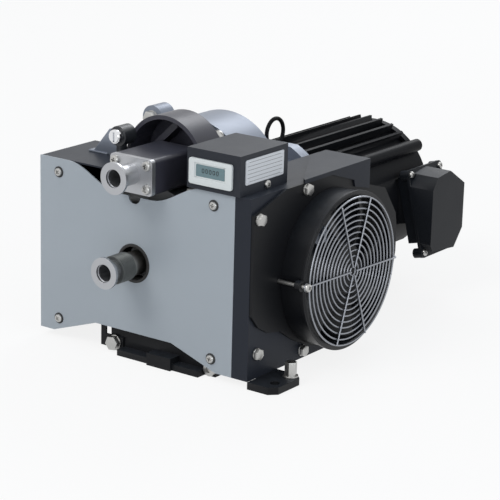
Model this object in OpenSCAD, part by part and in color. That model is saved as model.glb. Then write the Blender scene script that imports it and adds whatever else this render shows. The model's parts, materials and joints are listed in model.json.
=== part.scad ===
// Air cooled dry scroll vacuum pump with its motor, side fan and hour meter.
// X runs to the fan side, Y from the front cover back to the motor, Z up.
// The origin is on the floor, under the shaft, in the plane of the front cover.

/* [Main] */
// Height of the shaft above the floor
axis_h = 93; // [92:0.5:95]
// Width of the front cover
cover_w = 230; // [226:1:236]
// Height of the top edge of the cover above the floor
case_top = 178; // [177:0.5:181]
// Gap under the cover and the side sheets
case_bottom = 7; // [6.5:0.5:8]
// Depth of the left sheet and of the plain part of the duct
case_depth = 79; // [76:1:82]
// Thickness of the sheet parts
sheet_t = 1.6; // [1.2:0.1:2]

/* [Front cover] */
// Height of the straight edge above the base
cover_notch_h = 24.8; // [22:0.2:27]
// Left end of the raised lower edge, measured from the shaft
cover_notch_left = 46; // [42:1:50]
// Right end of the raised lower edge, measured from the shaft
cover_notch_right = 45; // [42:1:50]
// Length of the sloping lower edge on each side
cover_notch_run = 52; // [48:1:54]
// Height of the edge under the inlet
cover_dip_h = 157; // [155:0.5:159]
// Half width of the edge under the inlet
cover_dip_half = 20; // [18:1:22]
// Length of the sloping edge on each side of the inlet
cover_dip_run = 60; // [56:1:62]
// Radius of the hole round the outlet
cover_port_r = 18; // [17.6:0.1:18.5]
// Distance of the cover screws from the side edges
cover_screw_in = 23.5; // [21:0.5:26]
// Distance of the cover screws from the top and bottom edges
cover_screw_up = 13; // [12.5:0.5:13.5]

/* [Side sheets] */
// Width of the dark strip beside the cover
duct_strip_w = 18; // [16:0.5:20]
// Width of the flange behind the cover edge
flange_w = 38; // [34:1:42]
// Width of the sheet on top of the left side
left_top_w = 88; // [84:1:90]
// Number of slots in the left sheet
slot_count = 7; // [5:1:8]
// Width of a slot
slot_w = 5; // [4:0.5:5.5]
// Height of a slot
slot_h = 110; // [90:1:120]

/* [Duct top] */
// Rise of the duct top above the case
duct_top_rise = 4; // [3.5:0.5:5]
// Distance of its rear edge from the cover
duct_top_rear = 185; // [180:1:188]
// Width of the duct top
duct_top_w = 48; // [44:1:50]
// Depth of the skirt at its rear end
duct_skirt_h = 29; // [27:0.5:31]

/* [Fan] */
// Distance of the fan axis from the cover
fan_y = 118.3; // [117:0.1:120]
// Height of the fan axis
fan_z = 91; // [90:0.5:92]
// Thickness of the fan plate
fan_plate_t = 3; // [2.5:0.1:3.5]
// Distance of the rear end of the fan plate from the cover
plate_depth = 240; // [238:1:242]
// Bore of the fan barrel
fan_bore_r = 71; // [70.5:0.1:71.5]
// Wall of the fan barrel
fan_wall = 3.4; // [3:0.1:3.8]
// Length of the fan barrel
fan_len = 26; // [25:0.5:28]
// Radius of the fan hub
fan_hub_r = 27; // [25:0.5:29]
// Number of blades
blade_count = 7; // [5:1:9]
// Thickness of a blade
blade_t = 1.8; // [1.4:0.1:2.2]
// Slope of the blades
blade_pitch = 32; // [28:1:36]
// Radius of the outer ring of the guard
guard_r = 70.5; // [70:0.1:71]
// Radius of the guard wire
guard_wire_r = 1; // [0.9:0.05:1.1]
// Number of rings in the guard
ring_count = 12; // [11:1:12]
// Radius of the smallest ring
ring_first = 9; // [8:0.5:10]
// Reach of the ear beyond the barrel
ear_out = 6; // [5:0.5:6.5]

/* [Meter box] */
// Width of the meter box
meter_w = 59.2; // [58:0.2:60.4]
// Depth of the meter box
meter_d = 72.4; // [70:0.2:74]
// Height of the meter box
meter_h = 37.2; // [36:0.2:38.4]
// Step from the cover edge to the right wall of the meter box
meter_right = 7.2; // [6.4:0.2:8]
// Wall of the meter box
meter_wall = 2; // [1.6:0.1:2.4]
// Width of the hour meter
dial_w = 48; // [47:0.5:48]
// Height of the hour meter
dial_h = 24; // [23:0.5:24]
// Width of the display
glass_w = 26; // [24:0.5:28]
// Height of the display
glass_h = 11; // [10:0.5:12]

/* [Base] */
// Length of the front pedestal along the cover
pedestal_w = 124; // [120:1:127]
// Distance of its right end from the shaft
pedestal_right = 92; // [90:0.5:93]
// Height of its front wall
pedestal_h = 40; // [36:1:44]
// Thickness of its front wall
pedestal_wall = 5; // [4:0.5:5]
// Length of the pedestal under the pump
pedestal_d = 92; // [90:0.5:94]
// Thickness of its floor
pedestal_floor = 6; // [5:0.5:6.4]
// Thickness of the rails
rail_t = 3; // [2.5:0.1:3.4]
// Height of the rails
rail_h = 30; // [26:1:34]
// Width of the rail flanges
rail_w = 30; // [28:1:32]
// Length of the rails
rail_len = 181; // [178:1:184]
// Distance from the front foot holes to the rear ones
foot_pitch = 152; // [148:1:156]
// Distance of the right rail from the shaft
rail_right = 97; // [95:1:99]
// Length of the front foot
foot_d = 47; // [45:0.5:49]
// Reach of the front foot beyond the duct
foot_out = 30; // [28:0.5:32]
// Radius of the foot holes
foot_hole_r = 4.5; // [4.2:0.1:4.8]
// Distance of the front foot hole from the cover
foot_hole_y = 14.8; // [14:0.2:16]
// Distance of the foot bolt from the cover
foot_bolt_y = 38; // [36.5:0.5:39]

/* [Scrolls] */
// Radius on which the moving scroll orbits
orbit_r = 4; // [3.9:0.05:4.05]
// Thickness of the scroll walls
wrap_t = 3.3; // [3.2:0.05:3.35]
// Gap between the scroll flanks
flank_gap = 0.2; // [0.18:0.01:0.24]
// Height of the scroll walls
wrap_h = 22; // [20:0.5:23]
// Turns of the scroll walls
wrap_turns = 3.45; // [3:0.01:3.46]
// Turn at which the walls begin, counted from the base circle
wrap_begin = 0.85; // [0.8:0.01:0.95]
// Outer radius of the fixed scroll
fixed_r = 71; // [70.5:0.1:71.5]
// Radius of the chamber in the fixed scroll
chamber_r = 61; // [60.5:0.1:61.5]
// Thickness of the floor of each scroll
floor_t = 7; // [6.5:0.1:7.5]
// Height of the cooling fins on the fixed scroll
fin_h = 10; // [9:0.5:11]
// Number of cooling fins on the fixed scroll
fixed_fins = 11; // [9:1:13]
// Thickness of the cooling fins
fin_t = 2.4; // [2:0.1:2.8]
// Gap between the cover and the cooling fins
fin_front = 14; // [13.5:0.1:14.5]
// Radius of the floor of the moving scroll
orbit_plate_r = 56.5; // [56:0.1:56.8]
// Radius of the discharge port
port_r = 5; // [4.5:0.1:5.4]

/* [Shaft] */
// Radius of the bearing seats on the shaft
shaft_r = 12.5; // [12.3:0.1:12.8]
// Radius of the eccentric pin
pin_r = 9; // [8.7:0.1:9.2]
// Length of the eccentric pin
pin_len = 15; // [14:0.5:16]
// Outer radius of the main bearings
bearing_r = 26; // [25.5:0.1:26.5]
// Width of the main bearings
bearing_w = 15; // [14:0.5:15.5]
// Radius of the circle on which the guide cranks sit
guide_ring_r = 45; // [44.6:0.1:45.2]
// Radius of the pins of the guide cranks
guide_pin_r = 3.5; // [3.2:0.1:3.7]
// Length of each pin of the guide cranks
guide_pin_len = 10; // [9:0.5:10]
// Outer radius of the guide bearings
guide_bearing_r = 7.5; // [7.2:0.1:7.7]
// Fit of shafts in their bearings
fit = 0.05; // [0.02:0.01:0.08]

/* [Pump housing] */
// Outer radius of the pump housing
housing_r = 84; // [83.5:0.1:84.5]
// Radius of the space round the moving scroll
cavity_r = 64; // [63.5:0.1:64.5]
// Length of the pump housing
housing_len = 42; // [41.5:0.1:42.5]
// Thickness of its rear wall
housing_back = 14; // [13.5:0.1:14.3]
// Height of the cooling windows in the housing
window_h = 60; // [54:1:64]

/* [Hood] */
// Height of the centre of the hood arch
hood_z = 181.5; // [180.5:0.5:182.5]
// Distance of the hood centre from the shaft plane
hood_x = 3; // [2:0.5:4]
// Inner radius of the hood arch
hood_r = 41.5; // [41:0.1:42]
// Wall of the hood
hood_wall = 4; // [3.5:0.1:4.4]
// Front of the hood, measured from the cover
hood_front = 40; // [39:0.5:41]
// Length of the hood
hood_len = 34; // [33:0.5:35]

/* [Inlet] */
// Width of the inlet duct
inlet_w = 49; // [47:0.5:51]
// Distance of its centre from the shaft plane
inlet_x = 8; // [7.5:0.1:8.5]
// Lowest face of the inlet duct
inlet_low = 165; // [164.8:0.1:165.5]
// Height of the inlet duct
inlet_h = 34; // [33:0.5:35]
// Front of the inlet flange, ahead of the cover
inlet_front = 15; // [14:0.5:16]
// Thickness of the inlet flange
inlet_flange_t = 5; // [4.5:0.1:5.5]
// Height of the port above the lowest face of the duct
port_up = 18; // [17:0.5:18.5]
// Radius of both vacuum ports
vac_bore_r = 8; // [7.6:0.1:8.2]
// Radius of the recess at the mouth of both ports
vac_recess_r = 8.6; // [8.4:0.1:8.8]
// Radius of the small flanges
vac_flange_r = 15; // [14.9:0.05:15.1]
// Thickness of the rim of the small flanges
vac_rim_t = 3; // [2.8:0.1:3.2]
// Radius of the neck behind the small flanges
vac_neck_r = 10; // [9.9:0.1:10.3]
// Reach of the inlet port in front of its flange
inlet_reach = 25; // [23:0.5:27]

/* [Outlet] */
// Reach of the outlet port in front of the cover
outlet_reach = 43.5; // [42:0.5:45]
// Radius of the ribbed sleeve
sleeve_r = 13.5; // [13:0.1:14]
// Length of the ribbed sleeve
sleeve_len = 28; // [26:0.5:29]
// Number of grooves in the sleeve
groove_count = 5; // [4:1:6]
// Width across the flats of the union nut
union_af = 27; // [26:0.5:28]
// Length of the union nut
union_len = 14; // [13:0.5:14.5]
// Lift of the discharge valve disc
valve_lift = 3; // [2.5:0.1:3.2]
// Radius of the discharge valve disc
valve_r = 6.6; // [6.4:0.1:6.8]

/* [Gas ballast] */
// Distance of the ballast valve from the shaft plane
ballast_x = 40; // [39:0.5:41]
// Height of the ballast valve axis
ballast_z = 203.5; // [202:0.5:205]
// Front of the ballast knob, measured from the cover
ballast_front = 18; // [17:0.5:19]
// Radius of the ballast knob
knob_r = 7; // [6.5:0.1:7.5]
// Radius of the ballast body
ballast_r = 9.5; // [9:0.1:10]
// Length of the ballast body
ballast_len = 16; // [15:0.5:16]

/* [Crankcase] */
// Radius of the crankcase barrel
crankcase_r = 80; // [79:0.5:82]
// Radius of the corners of its rear flange
adapter_r = 92; // [91:0.5:93]
// Distance of the flats of that flange from the shaft
adapter_half = 83; // [82:0.5:84]
// Length of the crankcase
crankcase_len = 110; // [109:0.5:111]
// Radius of the dome on the crankcase
dome_r = 66; // [65:0.5:67]
// Height of the dome centre
dome_z = 148; // [147:0.5:149]
// Distance of the dome centre from the shaft plane
dome_x = 3; // [2:0.5:4]
// Length of the dome
dome_len = 50; // [48:0.5:52]
// Wall of the crankcase
crankcase_wall = 7; // [6:0.5:8]
// Radius of the crankcase lugs
lug_r = 12; // [11:0.5:13]

/* [Motor] */
// Radius over the fins of the motor
motor_r = 74; // [73:0.5:75]
// Height of the motor fins
motor_fin_h = 10; // [9:0.5:10.5]
// Length of the finned frame
motor_len = 187; // [184:1:189]
// Thickness of a motor fin
motor_fin_t = 2.6; // [2.2:0.1:3]
// Bore of the motor frame
stator_r = 57; // [56.5:0.5:57.5]
// Radius of the bore in the stator
stator_bore_r = 37; // [36.5:0.1:37.5]
// Length of the stator core
stator_len = 110; // [106:1:112]
// Length of the end windings
winding_len = 18; // [16:0.5:19]
// Number of stator slots
stator_slots = 12; // [9:1:14]
// Thickness of the front end shield
shield_t = 8; // [7.5:0.5:8.5]
// Radius of the round rib above the terminal box
frame_rib_r = 6.5; // [6:0.1:7]
// Outer radius of the lifting eye
eye_r = 16.3; // [16:0.1:16.6]
// Radius of the opening of the lifting eye
eye_hole_r = 12.1; // [12:0.1:12.3]

/* [Terminal box] */
// Tilt of the terminal box about the shaft
box_tilt = 14; // [13:0.5:15]
// Distance of the cover joint from the shaft
box_joint = 89.5; // [89:0.5:90]
// Height of the flanges at the joint
box_h = 92.5; // [91:0.5:94]
// Length of the flanges at the joint
box_l = 63; // [62:0.5:64]
// Thickness of each flange at the joint
box_flange_t = 2; // [1.8:0.1:2.2]
// Front edge of the box, measured from the cover
box_front = 342; // [341:0.5:343]
// Depth of the box behind the joint
box_depth = 14.5; // [14:0.1:14.8]
// Distance of the outer face of the cover from the shaft plane
lid_out = 115.5; // [114.5:0.5:116.5]
// Height of that face
lid_h = 85; // [83:0.5:86]
// Height of its lower edge above the floor
lid_low = 45; // [44:0.5:46]
// Wall of the terminal box
box_wall = 3; // [2.6:0.1:3.2]

/* [Fasteners] */
// Radius of the M4 screws
m4_r = 2; // [1.9:0.05:2.1]
// Radius of the M4 heads
m4_head_r = 4; // [3.8:0.1:4.2]
// Height of the M4 heads
m4_head_h = 2.6; // [2.4:0.1:2.8]
// Radius of the M6 bolts
m6_r = 3; // [2.9:0.05:3.1]
// Width across the flats of the M6 heads
m6_af = 10; // [9.8:0.1:10.2]
// Height of the M6 heads
m6_head_h = 4; // [3.8:0.1:4.2]
// Radius of the M8 bolts
m8_r = 4; // [3.9:0.05:4.1]
// Width across the flats of the M8 heads
m8_af = 13; // [12.8:0.1:13.2]
// Height of the M8 heads
m8_head_h = 5.3; // [5:0.1:5.6]

/* [Hidden] */
$fn = 48;
// Overrun of every cut past the face that it opens
over = 1;
// Small running clearance between parts that do not touch
slip = 0.3;
// Small sizes that several pieces share
ear_slope = 2;
guard_spread = 20;
guard_gap = 3.2;
fan_rim = 1.4;
seal_h = 1.2;
blade_gap = 2;
grommet_w = 2.6;
vac_cone_h = 1.6;
vac_recess_d = 2.6;
air_gap = 0.6;
tip_gap = 0.3;
cover_key_r = 7;
meter_front = 3;
foot_chamfer = 7;
washer_t = 1.6;
hole_gap = 0.25;

// Walls of the case
left_step = 1;
half_w = cover_w / 2;
duct_x = half_w + duct_strip_w;
behind = 2 * sheet_t;
hood_room = 4;
duct_notch_h = 8.5;
left_x = left_step - half_w;
cover_lip_left = half_w - cover_notch_left - cover_notch_run;
cover_lip_right = half_w - cover_notch_right - cover_notch_run;
ease_steps = 10;
cover_screw_x = half_w - cover_screw_in;
cover_screw_z = [case_bottom + cover_screw_up, case_top - cover_screw_up];
// Planes along the shaft
fixed_floor = fin_front + fin_h;
fixed_face = fixed_floor + floor_t;
rim_end = fixed_face + wrap_h;
orbit_face = rim_end + tip_gap;
orbit_back = orbit_face + floor_t;
boss_len = 17.4;
pin_begin = orbit_back + tip_gap;
pin_end = pin_begin + pin_len;
housing_end = rim_end + housing_len;
cavity_end = housing_end - housing_back;
crankcase_end = housing_end + crankcase_len;
frame_begin = crankcase_end + shield_t;
frame_end = frame_begin + motor_len;
motor_end = frame_end + shield_t;
// Bearings along the shaft
front_bearing = housing_end;
rear_bearing = crankcase_end - bearing_w;
tail_wall = 2;
tail_bearing = motor_end - bearing_w - tail_wall;
shaft_end = motor_end - tail_wall - over;
tail_boss = 4;
bearing_step = 3;
guide_bearing_step = 3;
// Scroll walls
wrap_pitch = 2 * (orbit_r + wrap_t + flank_gap);
base_r = wrap_pitch / (2 * PI);
half_wall_turn = wrap_t / (2 * base_r);
wrap_from = 2 * PI * wrap_begin;
wrap_to = 2 * PI * wrap_turns;
wrap_steps = 130;
seal_share = 0.5;
// Bolts round the scrolls and the motor flange
fixed_bolt_r = fixed_r + m6_af / (2 * cos(30)) + slip;
fixed_bolt_turns = [0, 60, 120, 180, 240, 300];
fixed_lug_r = 2 * m6_r + 2 * slip;
fixed_lug_y = rim_end - fin_front;
flange_t = shield_t + washer_t + fin_t + over;
lobe_share = 0.62;
flange_bolt_r = motor_r + m8_af * lobe_share;
flange_bolt_turns = [45, 135, 225, 315];
guide_turns = [30, 150, 270];
// Seal between the housing and the fixed scroll
seal_mid = (cavity_r + fixed_r) / 2;
seal_wide = 1.2;
seal_deep = 2.2;
// Stem, foot and pin of the ballast valve
stem_r = 5;
stem_in = 10;
stem_foot_h = 3;
knob_pin_len = 12;
knob_slot = 2;
// Feet of the housing, their right and left ends, and the block under the hood
housing_foot = [-28, 88];
housing_block = [-46, 49];
hood_legs = 168;
window_end = 4;
rib_x = -13;
rib_z = 200;
rib_turn = -43;
rib_half = 24;
rib_half_t = 3;
// Port axes
inlet_z = inlet_low + port_up;
inlet_drop_y = (fixed_face + rim_end) / 2;
inlet_wall = 1.5;
inlet_back = inlet_drop_y + vac_recess_r + inlet_wall;
inlet_pad_w = 26;
inlet_pad_step = 4;
inlet_thread = 12;
inlet_bolt_x = inlet_w / 2 - m6_r * 2;
inlet_bolt_z = inlet_h / 2 - m6_r * 2;
// Outlet planes
nut_front = 2;
sleeve_front = sleeve_len + nut_front;
groove_shares = [0.3, 0.6];
valve_t = 1.6;
stop_back = fin_front - valve_t - valve_lift;
stop_t = 4;
stop_web_t = 3;
grommet_lip = 2;
grommet_lip_t = 1.2;
grommet_r = cover_port_r + grommet_lip;
// Fan planes
plate_out = duct_x + fan_plate_t;
barrel_out = plate_out + fan_len;
guard_x = barrel_out + guard_gap;
wire_share = 1.6;
spoke_x = guard_x + guard_wire_r * wire_share;
wire_sides = 16;
ear_r = fan_bore_r + fan_wall + ear_out / 2;
hook_r = fan_bore_r + fan_wall / 2;
guard_foot_r = 1.4;
fan_pad_r = fan_bore_r + ear_out - fan_rim / 3;
// Bolts of the fan duct, as shares of the depth of the fan plate and of the height of the case
duct_bolt_shares = [[0.033, 0.885], [0.335, 0.965], [0.052, 0.14], [0.3555, 0.049]];
case_h = case_top - case_bottom;
duct_bolts = [for (i = [0 : 3]) [
    duct_bolt_shares[i][0] * plate_depth, case_bottom + duct_bolt_shares[i][1] * case_h, i < 2 ? plate_out : duct_x
]];
// Outline of the fan plate, as shares of its depth and of the height of the case
plate_shares = [
    [0.002, 0.388], [0.002, 0.915], [0.211, 1], [0.781, 1], [0.781, 0.875], [0.9, 0.826], [0.988, 0.663],
    [1, 0.584], [1, 0.438], [0.988, 0.36], [0.9, 0.197], [0.781, 0.148], [0.493, 0.082], [0.314, 0.148],
    [0.258, 0.189], [0.19, 0.249], [0.11, 0.269], [0.045, 0.318]
];
// Rear wall of the duct, and its fuller part behind the fan
duct_back_step = 2.5;
duct_back = duct_top_rear + duct_back_step;
duct_full = fan_y + fan_bore_r + behind;
duct_full_h = 147;
// Plan of the duct top along the duct, and the curve of its skirt, as shares of its depth and of the skirt
plan_shares = [0.411, 0.432, 0.859];
skirt_shares = [[0.411, 0], [0.649, 0.13], [0.854, 0.55], [0.865, 0.79], [1, 1]];
fan_motor_r = 25;
fan_motor_len = 8;
fan_motor_turns = [90, 210, 330];
fan_pin_r = 3;
fan_pin_back = 4;
fan_pin_end = plate_out + fan_len - fan_pin_back;
hub_gap = 2;
hub_x = plate_out + fan_motor_len + hub_gap;
hub_len = 12;
blade_len = 34;
// Meter box planes
meter_x = half_w + meter_right;
meter_left = meter_x - meter_w;
meter_top = case_top + meter_h;
dial_in = 3.3;
dial_up = 4.7;
dial_left = meter_left + dial_in;
dial_low = case_top + dial_up;
dial_t = 2.5;
dial_rim = 2;
dial_deep = 24;
dial_front = meter_front + dial_t;
glass_side = (dial_w - glass_w) / 2;
glass_share = 0.6;
glass_low = dial_low + (dial_h - glass_h) * glass_share;
tag_share = 0.8;
tag_t = 0.8;
tag_low = 9.7;
tag_high = 32.5;
// Tab of the duct behind the wall of the meter box, and the screw through it
tab_front = 32;
tab_back = 43;
tab_h = 10;
meter_screw = [(tab_front + tab_back) / 2, case_top + tab_h / 2];
// Base places
pedestal_left = pedestal_right - pedestal_w;
wall_front = 7;
pedestal_lip = 4;
pad_left = 22;
pad_right = 50;
rail_holes = [pedestal_d - pedestal_lip + rail_w / 2, pedestal_d - pedestal_lip + rail_w / 2 + foot_pitch];
rail_front = pedestal_d - pedestal_lip;
rail_back = rail_front + rail_len;
mount_front = 150;
mount_back = 190;
foot_left = rail_right - over;
foot_hole_in = 9.4;
foot_hole_x = duct_x + foot_out - foot_hole_in;
foot_stud_in = 8.6;
foot_stud_x = duct_x + foot_out - foot_stud_in;
// Tongue of the foot under the duct, and the bolt on it
foot_tongue_w = 18;
foot_screw_in = 15;
foot_screw = [duct_x - foot_screw_in, foot_bolt_y];
foot_bolts = [foot_screw, [foot_stud_x, foot_bolt_y]];
stud_h = 13;
stud_foot_r = 7.2;
washer_share = 0.56;
// Left end of the stay and its bolt
stay_left = -43;
stay_bolt_x = -25.5;
stay_bolt_z = 9;
stay_t = 2;
stay_right = -16;
stay_low = 3;
stay_strip_h = 12;
stay_strip_w = 6;
stay_top = 60;
right_bolt_x = 87;
right_bolt_z = 7.5;
// Lug and bolt on the dome of the crankcase, placed round its axis
lug_turn = 131.7;
lug_ring_r = 78.8;
dome_bolt_turn = 62.1;
dome_bolt_ring_r = 58.8;
dome_lug = [lug_ring_r * cos(lug_turn) - dome_x, dome_z + lug_ring_r * sin(lug_turn)];
dome_bolt = [dome_bolt_ring_r * cos(dome_bolt_turn) - dome_x, dome_z + dome_bolt_ring_r * sin(dome_bolt_turn)];
lug_len = 20;
lug_end_wall = 4;
lug_web_step = 2;
mount_half = 40;
// Inner parts of the motor
stator_room = 6;
stator_front = frame_begin + winding_len + stator_room;
stator_back = stator_front + stator_len;
slot_deep = 12;
slot_wide = 6;
winding_step = 3;
ring_step_r = 4;
ring_end = 8;
fin_sink = 2;
fin_turns = [57.5 : 11 : 300];
smooth_share = 0.64;
frame_rib_turn = 41;
frame_rib_ring_r = 77.5;
frame_rib_front = frame_begin + washer_t + m8_head_h + over;
seat_cut = 4;
eye_seat = axis_h + motor_r - seat_cut;
eye_room = 0.5;
eye_y = crankcase_end + eye_r + eye_room;
eye_half_t = 2.1;
eye_sink = 0.3;
// Terminal box, in the tilted frame of its joint
box_low = -76;
box_high = box_low + box_h;
box_base = box_joint - box_depth;
lid_seat = box_joint + box_flange_t;
base_back = 7;
base_under = 16;
base_over = 6.5;
base_y = [box_front + box_wall, box_front + box_l - base_back];
base_z = [box_low + base_under, box_high - base_over];
box_mid = (base_z[0] + base_z[1]) / 2;
// Round ears of the flanges, with the screws in their middle
box_ear_r = 5.4;
box_ear_y = 3.8;
box_ear_z = 5.2;
box_screw_y = [box_front + box_ear_y, box_front + box_l - box_ear_y];
box_screw_z = [box_low + box_ear_z, box_high - box_ear_z];
box_screw_len = 9;
box_head_r = 3.5;
// Outline of the cover of the box, as shares of its length and height
lid_shares = [
    [0.06, 0.05], [0, 0.14], [0, 0.82], [0.13, 0.965], [0.53, 1], [1, 0.785], [1, 0.22], [0.75, 0]
];
// Gland and lead hole
gland_r = 4.5;
gland_af = 10.4;
gland_hole_r = 2.2;
gland_x = (box_base + box_joint - box_flange_t) / 2;
gland_y = base_y[1];
gland_nut_h = 5;
gland_h = 11;
box_pad = [box_mid - 3 * gland_r, base_z[1] - 2 * over];
lead_hole_r = 6;
lead_hole_y = base_y[0] + lead_hole_r + box_wall + over;
post_pitch = 14;
post_h = 8;
post_front = 22;
post_back = 14;

// Shapes that more than one piece uses

module block(x0, x1, y0, y1, z0, z1) {
    translate([x0, y0, z0]) cube([x1 - x0, y1 - y0, z1 - z0]);
}

// An outline in X and Z, made solid from y0 to y1
module plate_y(y0, y1) {
    translate([0, y1, 0]) rotate([90, 0, 0]) linear_extrude(y1 - y0) children();
}

// An outline in Y and Z, made solid from x0 to x1
module plate_x(x0, x1) {
    translate([x0, 0, 0]) rotate([90, 0, 90]) linear_extrude(x1 - x0) children();
}

module rod_x(r, x0, x1, y, z) {
    translate([x0, y, z]) rotate([0, 90, 0]) cylinder(r = r, h = x1 - x0);
}

module rod_y(r, y0, y1, x = 0, z = axis_h) {
    translate([x, y1, z]) rotate([90, 0, 0]) cylinder(r = r, h = y1 - y0);
}

module rod_z(r, z0, z1, x, y) {
    translate([x, y, z0]) cylinder(r = r, h = z1 - z0);
}

module tube_y(outer, inner, y0, y1, x = 0, z = axis_h) {
    difference() {
        rod_y(outer, y0, y1, x, z);
        rod_y(inner, y0 - over, y1 + over, x, z);
    }
}

// A profile of radius and place along Y, turned about an axis at x and z
module turned_y(x = 0, z = axis_h) {
    translate([x, 0, z]) rotate([-90, 0, 0]) rotate_extrude() children();
}

module hex_y(af, y0, y1, x, z) {
    translate([x, y1, z]) rotate([90, 0, 0]) cylinder(d = af / cos(30), h = y1 - y0, $fn = 6);
}

// Copies round the shaft at radius r
module round_shaft(r, turns) {
    for (turn = turns) translate([r * cos(turn), 0, axis_h + r * sin(turn)]) children();
}

// Bolt along Y with a washer, its head in front of the face at y
module bolt_y(r, af, head, x, y, z, shank) {
    hex_y(af, y - washer_t - head, y - washer_t, x, z);
    rod_y(af * washer_share, y - washer_t, y, x, z);
    rod_y(r, y - washer_t - slip, y + shank, x, z);
}

// Bolt along X with a washer, its head outside the face at x
module bolt_x(r, af, head, x, y, z, shank) {
    translate([x + washer_t, y, z]) rotate([0, 90, 0])
        cylinder(d = af / cos(30), h = head, $fn = 6);
    rod_x(af * washer_share, x, x + washer_t, y, z);
    rod_x(r, x - shank, x + washer_t + slip, y, z);
}

// Point of the spiral at turn t, moved to one flank by side
function spiral(t, side) = base_r * [
    cos(t * 180 / PI) + (t + side) * sin(t * 180 / PI),
    sin(t * 180 / PI) - (t + side) * cos(t * 180 / PI)
];

// Outline of a spiral whose width is a share of the wall
module spiral_outline(share) {
    step = (wrap_to - wrap_from) / wrap_steps;
    side = share * half_wall_turn;
    polygon(concat(
        [for (i = [0 : wrap_steps]) spiral(wrap_from + i * step, side)],
        [for (i = [wrap_steps : -1 : 0]) spiral(wrap_from + i * step, -side)]
    ));
}

// The fixed spiral from y0 to y1
module fixed_spiral(share, y0, y1) {
    translate([0, 0, axis_h]) plate_y(y0, y1) spiral_outline(share);
}

// The moving spiral, half a turn round and one orbit radius to the right
module moving_spiral(share, y0, y1) {
    translate([orbit_r, 0, axis_h]) plate_y(y0, y1) rotate(180) spiral_outline(share);
}

// Small vacuum flange with its bore, its face at front and its neck back to back
module vacuum_port(front, back, x, z) {
    turned_y(x, z) polygon([
        [vac_recess_r, front], [vac_flange_r, front], [vac_flange_r, front + vac_rim_t],
        [vac_neck_r, front + vac_rim_t + vac_cone_h], [vac_neck_r, back], [vac_bore_r, back],
        [vac_bore_r, front + vac_recess_d], [vac_recess_r, front + vac_recess_d]
    ]);
}

// Base and feet

module base_rails() {
    color("dimgray") for (side = [0, 1]) mirror([side, 0, 0]) difference() {
        union() {
            block(rail_right - rail_w, rail_right, rail_front, rail_back, 0, rail_t);
            block(rail_right - rail_t, rail_right, rail_front, rail_back, 0, rail_h);
        }
        for (y = rail_holes) rod_z(foot_hole_r, -over, rail_t + over, rail_right - rail_w / 2, y);
    }
}

module base_crossbars() {
    inner = rail_right - rail_t;
    color("dimgray") {
        difference() {
            block(-inner, inner, rail_front, rail_front + rail_t, rail_t, rail_h);
            rod_y(housing_r + slip, rail_front - over, rail_front + 2 * rail_t);
        }
        difference() {
            block(-inner, inner, rail_back - rail_t, rail_back, rail_t, rail_h);
            rod_y(motor_r + slip, rail_back - 2 * rail_t, rail_back + over);
        }
        block(rail_w - rail_right, rail_right - rail_w, mount_front - rail_t, mount_back + rail_t, 0, rail_t);
    }
}

module front_pedestal() {
    color("#26282b") difference() {
        union() {
            block(pedestal_left, pedestal_right, -pedestal_lip, pedestal_d - pedestal_lip, 0, pedestal_floor);
            block(pedestal_left, pedestal_right, wall_front, wall_front + pedestal_wall, 0, pedestal_h);
            block(pad_left, pad_right, -wall_front, wall_front + over, 0, 2 * pedestal_floor);
        }
        rod_y(m8_r + hole_gap, 0, wall_front + pedestal_wall + over, stay_bolt_x, stay_bolt_z);
        rod_y(m8_r + hole_gap, 0, wall_front + pedestal_wall + over, right_bolt_x, right_bolt_z);
        block(pedestal_right - 3 * m8_r, pedestal_right + over, -pedestal_lip - over, wall_front, -over, pedestal_h);
        block(pedestal_left - over, pedestal_left + 4 * m8_r, -pedestal_lip - over, wall_front, -over, pedestal_h);
    }
}

module pedestal_stay() {
    color("#202225") difference() {
        union() {
            block(stay_left, stay_right, wall_front - stay_t, wall_front, stay_low, stay_low + stay_strip_h);
            block(stay_left, stay_left + stay_strip_w, wall_front - stay_t, wall_front, stay_low, stay_top);
        }
        rod_y(m8_r + hole_gap, 0, wall_front + over, stay_bolt_x, stay_bolt_z);
    }
}

module front_foot() {
    right = duct_x + foot_out;
    tongue = foot_d - foot_tongue_w;
    color("#1c1e20") difference() {
        linear_extrude(case_bottom) polygon([
            [duct_x, 0], [right - foot_chamfer, 0], [right, foot_chamfer], [right, foot_d - foot_chamfer],
            [right - foot_chamfer, foot_d], [foot_left, foot_d], [foot_left, tongue], [duct_x, tongue]
        ]);
        rod_z(foot_hole_r, -over, case_bottom + over, foot_hole_x, foot_hole_y);
        for (p = foot_bolts) rod_z(m6_r + hole_gap, -over, case_bottom + over, p[0], p[1]);
    }
}

// Case

// Outline of the cover, with the edge eased up on both sides of the inlet
module cover_outline() {
    rise = case_top - cover_dip_h;
    eased = [for (i = [0 : ease_steps]) [
        cover_dip_half + cover_dip_run * i / ease_steps,
        cover_dip_h + rise * (1 - cos(180 * i / ease_steps)) / 2
    ]];
    polygon(concat(
        [[-half_w, case_bottom], [cover_lip_left - half_w, case_bottom]],
        [[-cover_notch_left, cover_notch_h], [cover_notch_right, cover_notch_h]],
        [[half_w - cover_lip_right, case_bottom], [half_w, case_bottom], [half_w, case_top]],
        [for (i = [ease_steps : -1 : 0]) eased[i]],
        [for (p = eased) [-p[0], p[1]]],
        [[-half_w, case_top]]
    ));
}

module front_cover() {
    color("#a9b0b6") difference() {
        plate_y(0, sheet_t) cover_outline();
        rod_y(cover_port_r, -over, sheet_t + over);
        rod_y(cover_key_r, -over, sheet_t + over, 0, cover_dip_h);
        for (x = [-cover_screw_x, cover_screw_x], z = cover_screw_z)
            rod_y(m4_r + hole_gap, -over, sheet_t + over, x, z);
    }
}

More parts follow.
